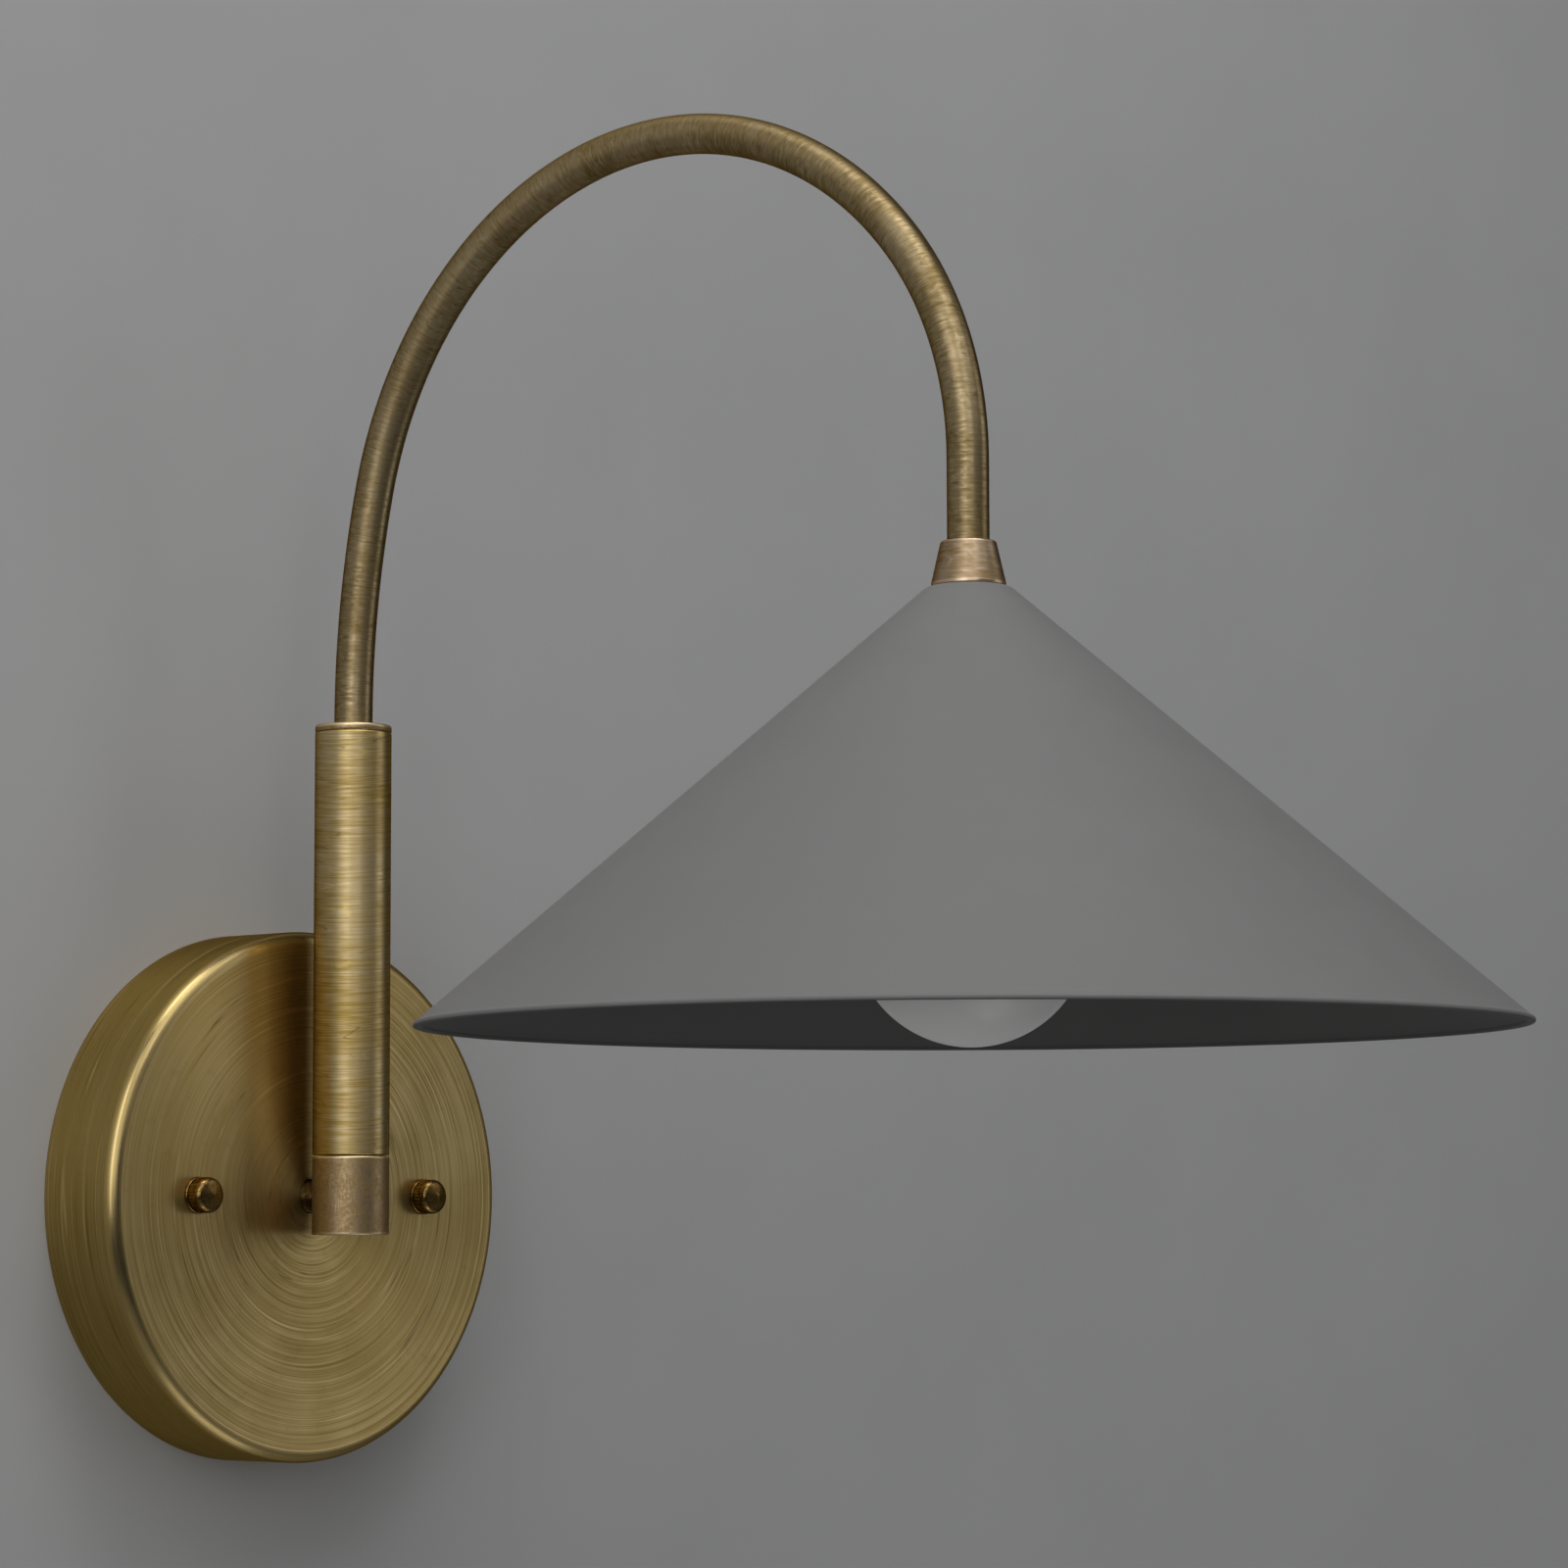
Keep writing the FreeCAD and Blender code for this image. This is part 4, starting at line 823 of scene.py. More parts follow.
@dataclass
class Finishes:
    """Every finish of the sconce, made on first use."""

    effects: Effects = field(default_factory=Effects)
    made: dict[str, Material] = field(default_factory=dict)

    CATALOGUE = (
        BrushedBrass("canopy_brass", (0.57, 0.45, 0.225), (0.42, 0.29, 0.08), (0.80, 0.60, 0.28),
                     0.38, 0.7, lines=3400.0, stroke=0.4, scratch_lines=420.0,
                     scratch_width=0.014, scratch_dark=0.6, patina_scale=25.0, spread=0.27,
                     rim_wear_and_highlight=0.2),
        # Darker, more amber copy of the canopy brass for the canopy's side: painted shade.
        BrushedBrass("canopy_side_brass", (0.47, 0.35, 0.14), (0.30, 0.20, 0.04),
                     (0.80, 0.60, 0.28), 0.42, 0.6, lines=1500.0, stroke=0.4,
                     scratch_lines=300.0, patina_scale=25.0, spread=0.3, rim_wear_and_highlight=0.2,
                     grazing=(0.16, 0.10, 0.03)),
        BrushedBrass("column_brass", (0.73, 0.595, 0.375), (0.40, 0.25, 0.012), (0.90, 0.68, 0.22),
                     0.42, 0.6, lines=4200.0, stroke=0.45, tilt=0.0014, scratch_lines=200.0,
                     scratch_width=0.012, scratch_dark=0.5, patina_scale=45.0, spread=0.26,
                     grazing=(0.20, 0.12, 0.03)),
        BrushedBrass("coupling_brass", (0.52, 0.395, 0.245), (0.36, 0.235, 0.09),
                     (0.95, 0.76, 0.46), 0.46, 0.3, lines=1800.0, stroke=8.0, scratch_lines=60.0,
                     scratch_width=0.01, patina_scale=220.0, spots=0.6, rim_wear_and_highlight=0.9),
        BrushedBrass("arm_brass", (0.455, 0.36, 0.215), (0.24, 0.165, 0.055), (0.6, 0.46, 0.25),
                     0.40, 0.6, lines=2400.0, stroke=0.8, scratch_lines=300.0,
                     scratch_width=0.02, scratch_dark=0.4, patina_scale=60.0),
        BrushedBrass("ferrule_brass", (0.54, 0.42, 0.30), (0.34, 0.22, 0.09),
                     (0.90, 0.68, 0.48), 0.42, 0.5, lines=2400.0, stroke=1.0,
                     scratch_lines=200.0, scratch_width=0.02, scratch_dark=0.3,
                     patina_scale=120.0, rim_wear_and_highlight=0.6),
        BrushedBrass("cap_nut_bronze", (0.36, 0.235, 0.075), (0.085, 0.045, 0.012),
                     (0.50, 0.33, 0.12), 0.30, 0.1, lines=900.0, stroke=5.0,
                     scratch_lines=300.0, scratch_width=0.03, patina_scale=500.0, bump=0.4,
                     spots=0.7, spread=0.16, rim_wear_and_highlight=0.15),
        # Near-black bronze for the standoff nipple in the gap behind the coupling: partly dark
        # bronze, partly painted shadow.
        BrushedBrass("stud_bronze", (0.12, 0.07, 0.02), (0.03, 0.017, 0.006), (0.3, 0.2, 0.08),
                     0.36, 0.1, patina_scale=400.0, bump=0.3, rim_wear_and_highlight=0.1),
        PlainFinish("shade_grey_paint", (0.200, 0.199, 0.197), (0.190, 0.189, 0.187), 0.62,
                    texture_scale=1500.0, patina_scale=6.0, bump=0.03),
        # Darker copy of the grey paint for the inside of the shade: partly a darker inner coat,
        # partly painted shadow.
        PlainFinish("shade_inner_paint", (0.105, 0.105, 0.104), (0.098, 0.098, 0.097), 0.70,
                    texture_scale=1500.0, patina_scale=6.0, bump=0.03, specular=0.3),
        PlainFinish("opal_glass", (0.96, 0.96, 0.95), (0.93, 0.93, 0.92), 0.38, coat=0.25,
                    texture_scale=1200.0, patina_scale=20.0, bump=0.01, subsurface=0.3),
        PlainFinish("zinc_steel", (0.62, 0.62, 0.60), (0.48, 0.48, 0.47), 0.34, metallic=1.0,
                    bump=0.08),
        PlainFinish("bright_brass", (0.80, 0.60, 0.26), (0.66, 0.47, 0.18), 0.26, metallic=1.0),
        PlainFinish("lamp_cap_aluminium", (0.80, 0.80, 0.80), (0.68, 0.68, 0.68), 0.28,
                    metallic=1.0),
        PlainFinish("porcelain_glaze", (0.78, 0.76, 0.70), (0.73, 0.71, 0.65), 0.18, coat=0.6,
                    subsurface=0.1),
        PlainFinish("black_glass", (0.012, 0.012, 0.014), (0.008, 0.008, 0.010), 0.15, coat=0.3),
        PlainFinish("block_moulding", (0.72, 0.70, 0.63), (0.67, 0.65, 0.58), 0.5),
        PlainFinish("board_lacquer", (0.80, 0.80, 0.79), (0.74, 0.74, 0.73), 0.35),
        PlainFinish("cable_sheath", (0.52, 0.52, 0.50), (0.47, 0.47, 0.45), 0.5),
        PlainFinish("lead_sheath_black", (0.02, 0.02, 0.02), (0.015, 0.015, 0.015), 0.42),
        PlainFinish("lead_sheath_white", (0.72, 0.72, 0.70), (0.66, 0.66, 0.64), 0.42),
        PlainFinish("lead_sheath_green", (0.05, 0.22, 0.06), (0.04, 0.18, 0.05), 0.42),
    )

    def __getitem__(self, name: str) -> Material:
        """Material of a finish by its name."""
        if name not in self.made:
            finish = next(item for item in self.CATALOGUE if item.name == name)
            self.made[name] = finish.make(self.effects)
        return self.made[name]


# ------------------------------------------------------------------ sub-assemblies

@dataclass
class Workshop:
    """What every sub-assembly is made with."""

    lathe: Lathe = field(default_factory=Lathe)
    finishes: Finishes = field(default_factory=Finishes)


def rounded_ring(outer: float, inner: float, low: float, high: float,
                 rounding: float = 0.2) -> list[Corner]:
    """Outline of a plain ring with softened outer edges, in millimetres."""
    return [Corner(inner, low), Corner(outer, low, rounding), Corner(outer, high, rounding),
            Corner(inner, high)]


def hex_outline(apothem: float, bore: float, low: float, high: float, bevel: float = 0.5,
                inset: float = 0.1) -> list[Corner]:
    """Outline of a hexagon nut whose corners are bevelled both ways, in millimetres."""
    corner, edge = apothem / math.cos(math.pi / 6), apothem - inset
    return [
        Corner(bore, low), Corner(edge, low, flats=True), Corner(corner, low + bevel, flats=True),
        Corner(corner, high - bevel, flats=True), Corner(edge, high, flats=True),
        Corner(bore, high),
    ]


@dataclass
class SubAssembly:
    """Pieces that are made in one workshop, ride on one body and share an axis."""

    shop: Workshop
    body: str = "arm"
    spine: Spine | BentSpine = Spine.UP
    foot: Vector = field(default_factory=Vector)

    def stand_on(self, node: str) -> tuple[Vector, Vector]:
        """Put the upright axis through a CAD node, and give the node's box in millimetres."""
        low, high = mm_box(node)
        self.foot = Vector((0, metres((low.y + high.y) / 2), 0))
        return low, high

    def span(self, node: str) -> tuple[float, float]:
        """Where a CAD node starts and ends along the axis, in millimetres."""
        low, high = mm_box(node)
        return (low.z, high.z) if self.spine is Spine.UP else (-high.y, -low.y)

    def turn(self, node: str, slot: str, finish: str, corners: list[Corner],
             pace: float | None = None, **working: object) -> Object:
        """Turn the detailed piece that stands for a CAD node.

        Args:
            node: The CAD node it stands for.
            slot: The record's material slot; not used.
            finish: Name of its finish.
            corners: Outline in millimetres.
            pace: Longest step along the outline, in millimetres.
            working: Thread, flutes, flats and copies, as the fields of Working.

        Returns:
            The piece.
        """
        piece = self.shop.lathe.make(node + "_turned", Outline(corners, pace), self.spine,
                                     self.foot, self.shop.finishes[finish], Working(**working))
        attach(piece, self.body)
        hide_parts(node)
        return piece

    def repaint(self, piece: Object, finish: str,
                chosen: Callable[[MeshPolygon], bool]) -> None:
        """Give the chosen faces of a piece a second finish."""
        piece.data.materials.append(self.shop.finishes[finish])
        for face in piece.data.polygons:
            face.material_index = int(chosen(face))

    def dress(self, finishes: dict[str, str]) -> None:
        """Give CAD nodes their finishes, by node name."""
        for node, finish in finishes.items():
            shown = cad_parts[node]
            if not shown.material_slots:
                shown.data.materials.append(self.shop.finishes[finish])
            for slot in shown.material_slots:
                slot.material = self.shop.finishes[finish]
            log.info("%s: dressed in %s", node, finish)

    def nipple(self, node: str, slot: str = ZINC, finish: str = ZINC) -> None:
        """Turn a hollow stud threaded on the outside."""
        radius, (low, high) = mm_box(node)[1].x, self.span(node)
        self.turn(node, slot, finish, [
            Corner(NIPPLE_BORE, low), Corner(radius, low, thread=True), Corner(radius, high),
            Corner(NIPPLE_BORE, high)], segments=96, **NIPPLE_THREAD)

    def washer(self, node: str) -> None:
        """Turn a washer that goes over a nipple."""
        self.turn(node, ZINC, ZINC, rounded_ring(mm_box(node)[1].x, NIPPLE_HOLE, *self.span(node)),
                  segments=96)

    def locknut(self, node: str, apothem: float = LOCKNUT_APOTHEM) -> None:
        """Turn a hexagon nut that goes over a nipple."""
        self.turn(node, ZINC, ZINC, hex_outline(apothem, NIPPLE_HOLE, *self.span(node)),
                  segments=144, flats=apothem)


@dataclass
class WallBase(SubAssembly):
    """Canopy, its studs and cap nuts, the mounting plate and what is behind the canopy."""

    body: str = "wall_base"
    spine: Spine = Spine.FROM_WALL
    wall: float = 1.2
    edge_rounding: float = 3.5
    hole_radius: float = 5.3
    stud_spacing: float = 88.9
    stud_radius: float = 2.0
    nut_radius: float = 5.0
    nut_neck: float = 0.5
    nut_neck_height: float = 0.5
    nut_flutes_from: float = 0.6
    nut_rounding: float = 1.6
    nut_face_crown: float = 1.5
    nut_cap_wall: float = 1.2
    shadowed_side_facing: float = 0.45

    def build(self) -> None:
        """Make and dress everything that stays on the wall."""
        self._canopy()
        self._studs_and_nuts()
        self.foot = Vector()
        # The standoff nipple gets the near-black bronze: partly dark bronze, partly painted shadow
        # in the gap behind the coupling.
        self.nipple("standoff_nipple", "dark_bronze", "stud_bronze")
        self.washer("standoff_washer")
        self.locknut("standoff_locknut", mm_box("standoff_locknut")[1].z)
        self.dress({
            "mounting_plate": ZINC, "terminal_block": "block_moulding",
            "terminal_clamp_screws": "bright_brass", "block_screw": ZINC,
            "earth_screw": "bright_brass", "earth_ring_terminal": "bright_brass",
            "live_lead": "lead_sheath_black", "neutral_lead": "lead_sheath_white",
            "earth_lead": "lead_sheath_green",
        })

    def _canopy(self) -> None:
        """Spun dish with its rounded front edge; its side gets a darker, more amber copy of the
        brass as painted shade.
        """
        low, high = mm_box("canopy")
        radius, depth = high.x, -low.y
        inner, back = radius - self.wall, depth - self.wall
        corners = [
            Corner(inner, 0.0), Corner(radius, 0.0, 0.3), Corner(radius, depth, self.edge_rounding),
            Corner(self.hole_radius, depth), Corner(self.hole_radius, back),
            Corner(inner, back, self.edge_rounding - self.wall),
        ]
        piece = self.turn("canopy", "antique_brass_canopy", "canopy_brass", corners, segments=256,
                          sharp_degrees=50)
        # Faces that look sideways get the darker copy of the brass: painted shade on the canopy's
        # side.
        self.repaint(piece, "canopy_side_brass",
                     lambda face: abs(face.normal.y) < self.shadowed_side_facing)

    def _studs_and_nuts(self) -> None:
        """Two studs with locknuts, washers and knurled cap nuts."""
        pair = {"copies": 2, "step": (self.stud_spacing, 0.0, 0.0)}
        self.foot = Vector((metres(-self.stud_spacing / 2), 0, 0))
        radius, tip = self.stud_radius, self.span("canopy_studs")[1]
        self.turn("canopy_studs", ZINC, ZINC, [
            Corner(0, 0), Corner(radius, 0, thread=True), Corner(radius, tip), Corner(0, tip),
        ], segments=32, thread_pitch=0.79, thread_depth=0.35, **pair)
        bore, apothem = radius + GAP, mm_box("stud_locknuts")[1].z
        self.turn("stud_locknuts", ZINC, ZINC,
                  hex_outline(apothem, bore, *self.span("stud_locknuts")), segments=96,
                  flats=apothem, **pair)
        outer = mm_box("cap_nut_washers")[1].z
        self.turn("cap_nut_washers", "dark_bronze", "cap_nut_bronze",
                  rounded_ring(outer, bore, *self.span("cap_nut_washers"), 0.3), segments=64,
                  **pair)
        foot, head = self.span("cap_nuts")
        radius, neck = self.nut_radius, self.nut_radius - self.nut_neck
        ceiling = head - self.nut_cap_wall
        corners = [
            Corner(bore, foot), Corner(neck, foot), Corner(neck, foot + self.nut_neck_height),
            Corner(radius, foot + self.nut_flutes_from, flute=True),
            Corner(radius, head - self.nut_face_crown, self.nut_rounding), Corner(0, head),
            Corner(0, ceiling), Corner(bore, ceiling),
        ]
        self.turn("cap_nuts", "dark_bronze", "cap_nut_bronze", corners, segments=144, flutes=36,
                  flute_depth=0.22, sharp_degrees=60, **pair)


@dataclass
class Pivot(SubAssembly):
    """Coupling on the standoff, and the swivel stud, washer and nut that carry the column."""

    body: str = "wall_base"
    edge: float = 0.5
    seat_depth: float = 8.0
    chamber: float = 4.3
    chamber_floor: float = -5.0

    def build(self) -> None:
        """Make the pivot."""
        low, high = self.stand_on("coupling")
        seat = high.z - self.seat_depth
        corners = [
            Corner(0, low.z), Corner(high.x, low.z, self.edge), Corner(high.x, high.z, self.edge),
            Corner(NIPPLE_HOLE, high.z), Corner(NIPPLE_HOLE, seat), Corner(self.chamber, seat),
            Corner(self.chamber, self.chamber_floor), Corner(0, self.chamber_floor),
        ]
        self.turn("coupling", "antique_brass_column", "coupling_brass", corners, segments=192,
                  sharp_degrees=50)
        self.nipple("swivel_stud")
        self.washer("swivel_washer")
        self.locknut("swivel_locknut")


@dataclass
class Column(SubAssembly):
    """Brushed column tube, the plug in its foot and the ring cap in its head."""

    wall: float = 1.2
    seam: float = 0.4
    ring_height: float = 2.2
    ring_rounding: float = 0.7

    def build(self) -> None:
        """Make the column."""
        low, high = self.stand_on("column")
        radius, inner = high.x, high.x - self.wall
        neck = inner - GAP
        self.turn("column", "antique_brass_column", "column_brass", [
            Corner(inner, low.z), Corner(radius, low.z, self.seam),
            Corner(radius, high.z, self.seam), Corner(inner, high.z)], segments=192)
        self.turn("column_plug", "plain_brass", "bright_brass",
                  rounded_ring(neck, NIPPLE_HOLE, *self.span("column_plug")))
        foot, top = self.span("column_cap")
        seat = top - self.ring_height
        corners = [
            Corner(ARM_HOLE, foot), Corner(neck, foot), Corner(neck, seat),
            Corner(radius - self.seam, seat), Corner(radius, seat + self.seam),
            Corner(radius, top, self.ring_rounding), Corner(ARM_HOLE, top),
        ]
        self.turn("column_cap", "antique_brass_column", "coupling_brass", corners, segments=192,
                  sharp_degrees=50)


@dataclass
class Arm(SubAssembly):
    """Bent arm tube from the column's cap to the ferrule, with the cable inside it."""

    bends: tuple[tuple[float, float], ...] = ((280.0, 14.0), (112.5, 126.0), (95.0, 40.0))
    neck_rise: float = 1.0
    radius: float = 5.5
    wall: float = 1.2
    pace: float = 2.5

    def build(self) -> None:
        """Make the arm tube along its own spine."""
        foot = mm_box("gooseneck")[0].z
        start = mm_box("column_cap")[1].z + self.neck_rise
        self.stand_on("column")
        self.spine = BentSpine(self.foot + Vector((0, 0, metres(foot))), start - foot, self.bends)
        bends_end = self.spine.place(Vector(), self.spine.length())[0].z * 1000.0
        self.spine.drop = bends_end - (mm_box("ferrule")[1].z - ARM_SOCKET)
        inner, length = self.radius - self.wall, self.spine.length()
        self.turn("gooseneck", "antique_brass_arm", "arm_brass", [
            Corner(inner, 0.0), Corner(self.radius, 0.0), Corner(self.radius, length),
            Corner(inner, length)], self.pace, segments=64)
        self.dress({"arm_cable": "cable_sheath"})


@dataclass
class Shade(SubAssembly):
    """Ferrule, cone shade and the nipple, washer and locknut that hold it."""

    ferrule_top_radius: float = 7.2
    ferrule_foot_radius: float = 9.7
    ferrule_band: float = 0.8
    hole_radius: float = 5.3
    shoulder_radius: float = 10.7
    shoulder_rounding: float = 4.0
    wall: float = 1.2
    hem_radius: float = 1.5
    inward_facing: float = -0.1
    downward_facing: float = -0.75

    def build(self) -> None:
        """Make the shade and its fittings."""
        low, high = self.stand_on("shade")
        self._ferrule()
        self._shade(high.x, low.z, high.z)
        self.nipple("shade_nipple")
        self.washer("shade_washer")
        self.locknut("shade_locknut")

    def _ferrule(self) -> None:
        """Turned cone between arm and shade."""
        low, high = self.span("ferrule")
        step = high - ARM_SOCKET - GAP
        corners = [
            Corner(NIPPLE_HOLE, low), Corner(self.ferrule_foot_radius, low, 0.35),
            Corner(self.ferrule_foot_radius, low + self.ferrule_band, 0.2),
            Corner(self.ferrule_top_radius, high, 0.5), Corner(ARM_HOLE, high),
            Corner(ARM_HOLE, step), Corner(NIPPLE_HOLE, step),
        ]
        self.turn("ferrule", "antique_brass_arm", "ferrule_brass", corners, segments=160,
                  sharp_degrees=50)

    def _shade(self, rim: float, low: float, high: float) -> None:
        """Spun cone with a rounded shoulder and a rolled hem; the faces that look down or in get a
        darker copy of its paint, partly a darker inner coat and partly painted shadow.
        """
        slope = (rim - self.shoulder_radius) / (high - low)
        inset = self.wall * math.sqrt(1 + slope ** 2)
        hem_top = low + self.hem_radius
        rim_in = rim - slope * self.hem_radius
        inner_top = self.shoulder_radius + slope * self.wall - inset
        corners = [
            Corner(self.hole_radius, high),
            Corner(self.shoulder_radius, high, self.shoulder_rounding),
            Corner(rim_in + 0.2, hem_top + 0.25, 0.8), Corner(rim, hem_top - 0.6, 0.8),
            Corner(rim - 0.7, low, 0.6), Corner(rim - 2.6, low, 0.8),
            Corner(rim - 3.0, hem_top - 0.5, 0.6),
            Corner(rim_in - inset - 0.8, hem_top + 0.9, 0.5),
            Corner(inner_top, high - self.wall, self.shoulder_rounding - self.wall),
            Corner(self.hole_radius, high - self.wall),
        ]
        piece = self.turn("shade", "shade_grey", "shade_grey_paint", corners, segments=360,
                          sharp_degrees=50)
        # Faces that look down or in get the darker paint: partly a darker inner coat, partly
        # painted shadow.
        self.repaint(piece, "shade_inner_paint", self._is_inside)

    def _is_inside(self, face: MeshPolygon) -> bool:
        """Whether a face of the shade looks down or in."""
        out = Vector((face.center.x, face.center.y - self.foot.y, 0.0)).normalized()
        return face.normal.dot(out) < self.inward_facing or face.normal.z < self.downward_facing


@dataclass
class Lampholder(SubAssembly):
    """Metal cap, porcelain body, screw shell, contact and terminal screws."""

    wall: float = 1.0
    hub: float = 8.0
    dome_height: float = 5.2
    hub_depth: float = 3.2
    skirt_overlap: float = 0.2
    groove_pitch: float = 3.0
    groove_depth: float = 0.6
    mouth: float = 13.95
    centre_hole: float = 1.55
    floor_depth: float = 2.8
    shell_wall: float = 0.4
    shell_lip: float = 4.0

    def build(self) -> None:
        """Make the lampholder."""
        low, high = self.stand_on("socket_cap")
        rim, top, inner = high.x, high.z, high.x - self.wall
        dome, under = top - self.dome_height, top - self.hub_depth
        corners = [
            Corner(NIPPLE_HOLE, top), Corner(self.hub, top, 0.4), Corner(self.hub, top - 1.6, 0.3),
            Corner(rim, dome, 2.0), Corner(rim, low.z, 0.3), Corner(inner, low.z),
            Corner(inner, dome - 0.6, 1.4), Corner(self.hub, under), Corner(NIPPLE_HOLE, under),
        ]
        self.turn("socket_cap", "antique_brass_column", "arm_brass", corners, segments=160,
                  sharp_degrees=50)
        self._body(rim, inner - GAP, low.z - self.skirt_overlap)
        self._shell()
        self.dress({
            "socket_centre_contact": "bright_brass", "socket_terminal_screws": "bright_brass",
            "holder_live_lead": "lead_sheath_black", "holder_neutral_lead": "lead_sheath_white",
        })

    def _body(self, rim: float, neck: float, step: float) -> None:
        """Glazed body with three shallow grooves round its skirt."""
        low, high = self.span("socket_body")
        floor = high - self.floor_depth
        skirt = [Corner(neck, high, 0.4), Corner(neck, step), Corner(rim, step, 0.5)]
        for number in range(3):
            level = step - 5.0 - self.groove_pitch * number
            skirt += [Corner(rim, level + 0.7, 0.2), Corner(rim - self.groove_depth, level, 0.3),
                      Corner(rim, level - 0.7, 0.2)]
        corners = [Corner(self.centre_hole, high), *skirt, Corner(rim, low, 1.0),
                   Corner(self.mouth, low, 0.3), Corner(self.mouth, floor),
                   Corner(self.centre_hole, floor)]
        self.turn("socket_body", "porcelain", "porcelain_glaze", corners, segments=160,
                  sharp_degrees=40)

    def _shell(self) -> None:
        """Screw shell with the lamp thread rolled into it."""
        outer, (low, high) = mm_box("socket_screw_shell")[1].x, self.span("socket_screw_shell")
        inner, lip, under = outer - self.shell_wall, outer - self.shell_lip, high - self.shell_wall
        self.turn("socket_screw_shell", "plain_brass", "bright_brass", [
            Corner(lip, high), Corner(outer, high, thread=True), Corner(outer, low),
            Corner(inner, low, thread=True), Corner(inner, under), Corner(lip, under),
        ], **LAMP_THREAD)


@dataclass
class Bulb(SubAssembly):
    """Screw-base bulb with an opal globe."""

    body: str = "bulb"
    radius: float = 30.5
    length: float = 102.4
    neck_length: float = 30.0
    glass: float = 0.9
    cap_wall: float = 0.35
    plain_skirt: float = 3.5
    neck_steps: int = 16
    ball_steps: int = 48

    def build(self) -> None:
        """Make the bulb."""
        low, high = self.stand_on("bulb_base_shell")
        shell, inner, under = high.x, high.x - self.cap_wall, high.z - self.cap_wall
        lip, skirt = shell - 2.1, low.z + self.plain_skirt
        corners = [
            Corner(lip, high.z), Corner(shell - 1.0, high.z, 0.4),
            Corner(shell, high.z - 1.0, thread=True), Corner(shell, skirt), Corner(shell, low.z),
            Corner(inner, low.z), Corner(inner, skirt, thread=True),
            Corner(inner, high.z - 1.2), Corner(shell - 1.2, under), Corner(lip, under),
        ]
        self.turn("bulb_base_shell", "bulb_aluminium", "lamp_cap_aluminium", corners,
                  **LAMP_THREAD)
        self._globe(inner - GAP)
        self.dress({
            "bulb_foot_contact": "bright_brass", "bulb_insulator": "black_glass",
            "bulb_light_board": "board_lacquer",
        })

    def _globe(self, neck: float) -> None:
        """Opal globe: a sphere drawn into a neck by a tangent hollow curve."""
        low, high = self.span("bulb_globe")
        foot = low + self.length
        sphere_at = self.length - self.radius
        drop = sphere_at - self.neck_length
        hollow = (neck ** 2 + drop ** 2 - self.radius ** 2) / (2 * (self.radius - neck))
        lean = math.atan2(drop, neck + hollow)

        def side(inset: float) -> list[Corner]:
            """Half outline at an inset from the outer face, from the mouth to the pole."""
            points = [(neck - inset, high)]
            curve, ball = hollow + inset, self.radius - inset
            for number in range(self.neck_steps + 1):
                angle = lean * number / self.neck_steps
                points.append((neck + hollow - math.cos(angle) * curve,
                               foot - self.neck_length - math.sin(angle) * curve))
            for number in range(1, self.ball_steps + 1):
                angle = lean - (lean + math.pi / 2) * number / self.ball_steps
                points.append((max(0.0, math.cos(angle) * ball),
                               foot - sphere_at + math.sin(angle) * ball))
            points[-1] = (0.0, points[-1][1])
            return [Corner(*point) for point in points]

        self.turn("bulb_globe", "opal_glass", "opal_glass",
                  list(reversed(side(0.0))) + side(self.glass), segments=160, sharp_degrees=60)


# ------------------------------------------------------------------ studio

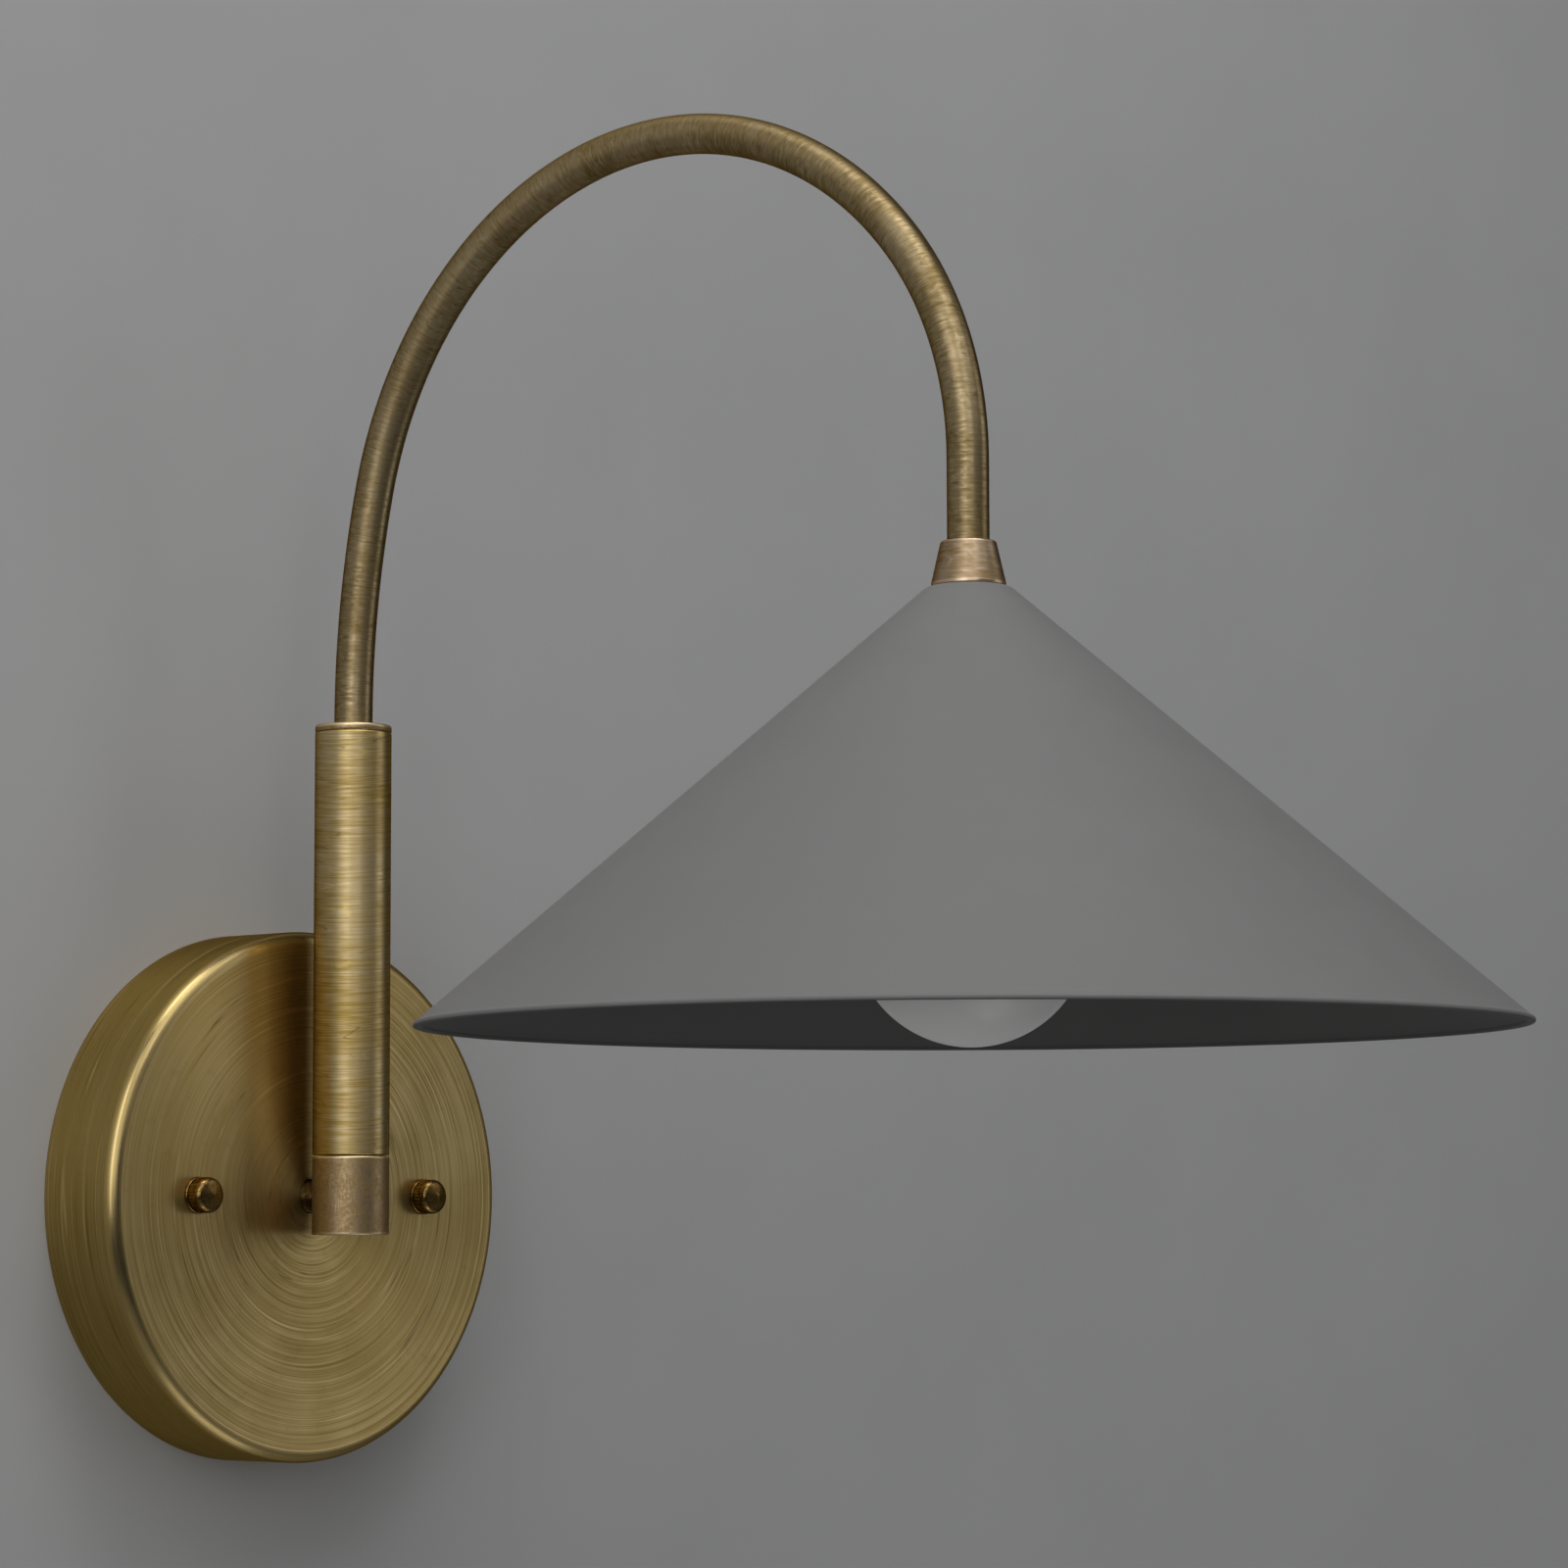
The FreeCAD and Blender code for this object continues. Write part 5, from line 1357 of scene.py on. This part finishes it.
@dataclass
class Studio:
    """Wall, floor, soft lights and the camera of the photograph."""

    camera_place: tuple[float, float, float] = (-0.93265, -1.00156, -0.01300)
    yaw: float = 0.8653
    pitch: float = 0.0980
    roll: float = -0.0029
    focal_share: float = 4733.1 / 1600.0
    sensor_mm: float = 36.0
    floor_level: float = -1.5
    reach: float = 4.0
    wall_hole: float = 0.070
    wall_sides: int = 64

    AIM = (0.0, -0.15, 0.10)
    SOFTBOXES = (
        ("key_softbox", (-1.33, -1.45, 1.0), (1.8, 2.1), 11.5),
        ("high_softbox", (0.05, -1.25, 1.55), (1.5, 1.5), 8.2),
        ("wall_washer", (-0.3, -0.35, 1.6), (1.5, 0.6), 7.5),
        ("left_softbox", (-2.1, -0.8, 0.7), (1.4, 2.0), 10.5),
        ("right_softbox", (1.6, -1.6, 0.45), (0.9, 2.2), 4.5),
        ("low_fill", (0.1, -0.6, -1.4), (1.0, 0.8), 1.9),
        ("back_softbox", (0.6, 1.6, 1.0), (1.6, 1.2), 22.0),
    )
    ROOM = {"Color": (0.9, 0.95, 1.0, 1.0), "Strength": 0.03}
    WALL_TONES = ((0.462, 0.462, 0.463, 1.0), (0.485, 0.485, 0.486, 1.0))
    FLOOR_TONES = ((0.50, 0.50, 0.49, 1.0), (0.54, 0.54, 0.53, 1.0))

    def build(self) -> None:
        """Set up the stage, the lights and the camera."""
        self._wall()
        self._floor()
        self._lights()
        self._camera()

    def _camera(self) -> None:
        """Camera at the photograph's place and angle."""
        ahead = Vector((math.sin(self.yaw) * math.cos(self.pitch),
                        math.cos(self.yaw) * math.cos(self.pitch), math.sin(self.pitch)))
        right = Vector((math.cos(self.yaw), -math.sin(self.yaw), 0.0))
        up = right.cross(ahead)
        tilted_right = right * math.cos(self.roll) + up * math.sin(self.roll)
        tilted_up = up * math.cos(self.roll) - right * math.sin(self.roll)
        data = bpy.data.cameras.new("photo_camera")
        data.sensor_width = self.sensor_mm
        data.lens = self.focal_share * self.sensor_mm
        data.clip_start, data.clip_end = 0.05, 50.0
        camera = bpy.data.objects.new("photo_camera", data)
        camera.matrix_world = Matrix((
            (tilted_right.x, tilted_up.x, -ahead.x, self.camera_place[0]),
            (tilted_right.y, tilted_up.y, -ahead.y, self.camera_place[1]),
            (tilted_right.z, tilted_up.z, -ahead.z, self.camera_place[2]),
            (0.0, 0.0, 0.0, 1.0)))
        bpy.context.scene.collection.objects.link(camera)
        bpy.context.scene.camera = camera

    def _wall(self) -> None:
        """Painted wall, open behind the canopy and seen only from the room."""
        shape = bmesh.new()
        ring, rim = [], []
        for number in range(self.wall_sides):
            angle = math.tau * number / self.wall_sides
            x, z = math.cos(angle), math.sin(angle)
            grow = self.reach / max(abs(x), abs(z))
            ring.append(shape.verts.new((self.wall_hole * x, 0.0, self.wall_hole * z)))
            rim.append(shape.verts.new((x * grow, 0.0, max(self.floor_level, z * grow))))
        for number in range(self.wall_sides):
            before = number - 1
            shape.faces.new((ring[before], rim[before], rim[number], ring[number]))
        bmesh.ops.recalc_face_normals(shape, faces=shape.faces)
        if sum(face.normal.y for face in shape.faces) > 0:
            bmesh.ops.reverse_faces(shape, faces=shape.faces)
        mesh = bpy.data.meshes.new("wall")
        shape.to_mesh(mesh)
        shape.free()
        material, w, shader = new_material("wall_paint")
        place = w.add("ShaderNodeTexCoord").outputs["Object"]
        mottle = w.noise(w.scaled(place, 6.0), 1.0, 4.0, 0.6)
        w.fill(shader, {"Roughness": 0.6, "Base Color": w.mixed(w.ranged(mottle, 0.3, 0.7),
                                                                *self.WALL_TONES)})
        w.emboss(shader, 0.08, 0.2, w.noise(w.scaled(place, 700.0), 1.0, 3.0, 0.6))
        clear = w.add("ShaderNodeBsdfTransparent").outputs[0]
        back = w.add("ShaderNodeNewGeometry").outputs["Backfacing"]
        one_sided = w.add("ShaderNodeMixShader", {0: back, 1: shader.outputs[0], 2: clear})
        w.feed(material.node_tree.nodes["Material Output"].inputs["Surface"], one_sided.outputs[0])
        mesh.materials.append(material)
        self._stage("wall", mesh)

    def _floor(self) -> None:
        """Plain pale floor well below the sconce."""
        mesh = bpy.data.meshes.new("floor")
        r, z = self.reach, self.floor_level
        mesh.from_pydata([(-r, -r, z), (r, -r, z), (r, r, z), (-r, r, z)], [], [(0, 1, 2, 3)])
        material, w, shader = new_material("floor_pale")
        place = w.add("ShaderNodeTexCoord").outputs["Object"]
        mottle = w.noise(w.scaled(place, 3.0), 1.0, 3.0, 0.6)
        w.fill(shader, {"Roughness": 0.7, "Base Color": w.mixed(mottle, *self.FLOOR_TONES)})
        mesh.materials.append(material)
        self._stage("floor", mesh)

    @staticmethod
    def _stage(name: str, mesh: Mesh) -> None:
        """Link a mesh as part of the stage."""
        item = bpy.data.objects.new(name, mesh)
        bpy.context.scene.collection.objects.link(item)

    def _lights(self) -> None:
        """Soft boxes in front and behind, and a dim room."""
        for name, place, size, power in self.SOFTBOXES:
            data = bpy.data.lights.new(name, "AREA")
            data.shape = "RECTANGLE"
            data.size, data.size_y = size
            data.energy = power
            lamp = bpy.data.objects.new(name, data)
            lamp.location = place
            lamp.rotation_mode = "QUATERNION"
            ahead = Vector(self.AIM) - Vector(place)
            lamp.rotation_quaternion = ahead.to_track_quat("-Z", "Y")
            bpy.context.scene.collection.objects.link(lamp)
        world = bpy.data.worlds.new("room")
        world.use_nodes = True
        Wiring(world.node_tree).fill(world.node_tree.nodes["Background"], self.ROOM)
        bpy.context.scene.world = world
        bpy.context.scene.view_settings.view_transform = "Standard"


def main() -> None:
    """Build every sub-assembly in order."""
    logging.basicConfig(level=logging.INFO, format="%(name)s: %(message)s")
    shop = Workshop()
    for kind in (WallBase, Pivot, Column, Arm, Shade, Lampholder, Bulb):
        log.info("building %s", kind.__name__)
        kind(shop).build()
    Studio().build()
    bare = [name for name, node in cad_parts.items()
            if not node.hide_render and not any(slot.material in shop.finishes.made.values()
                                                for slot in node.material_slots)]
    if bare:
        raise ValueError(f"nodes with no finish: {bare}")


if __name__ == "__main__":
    main()
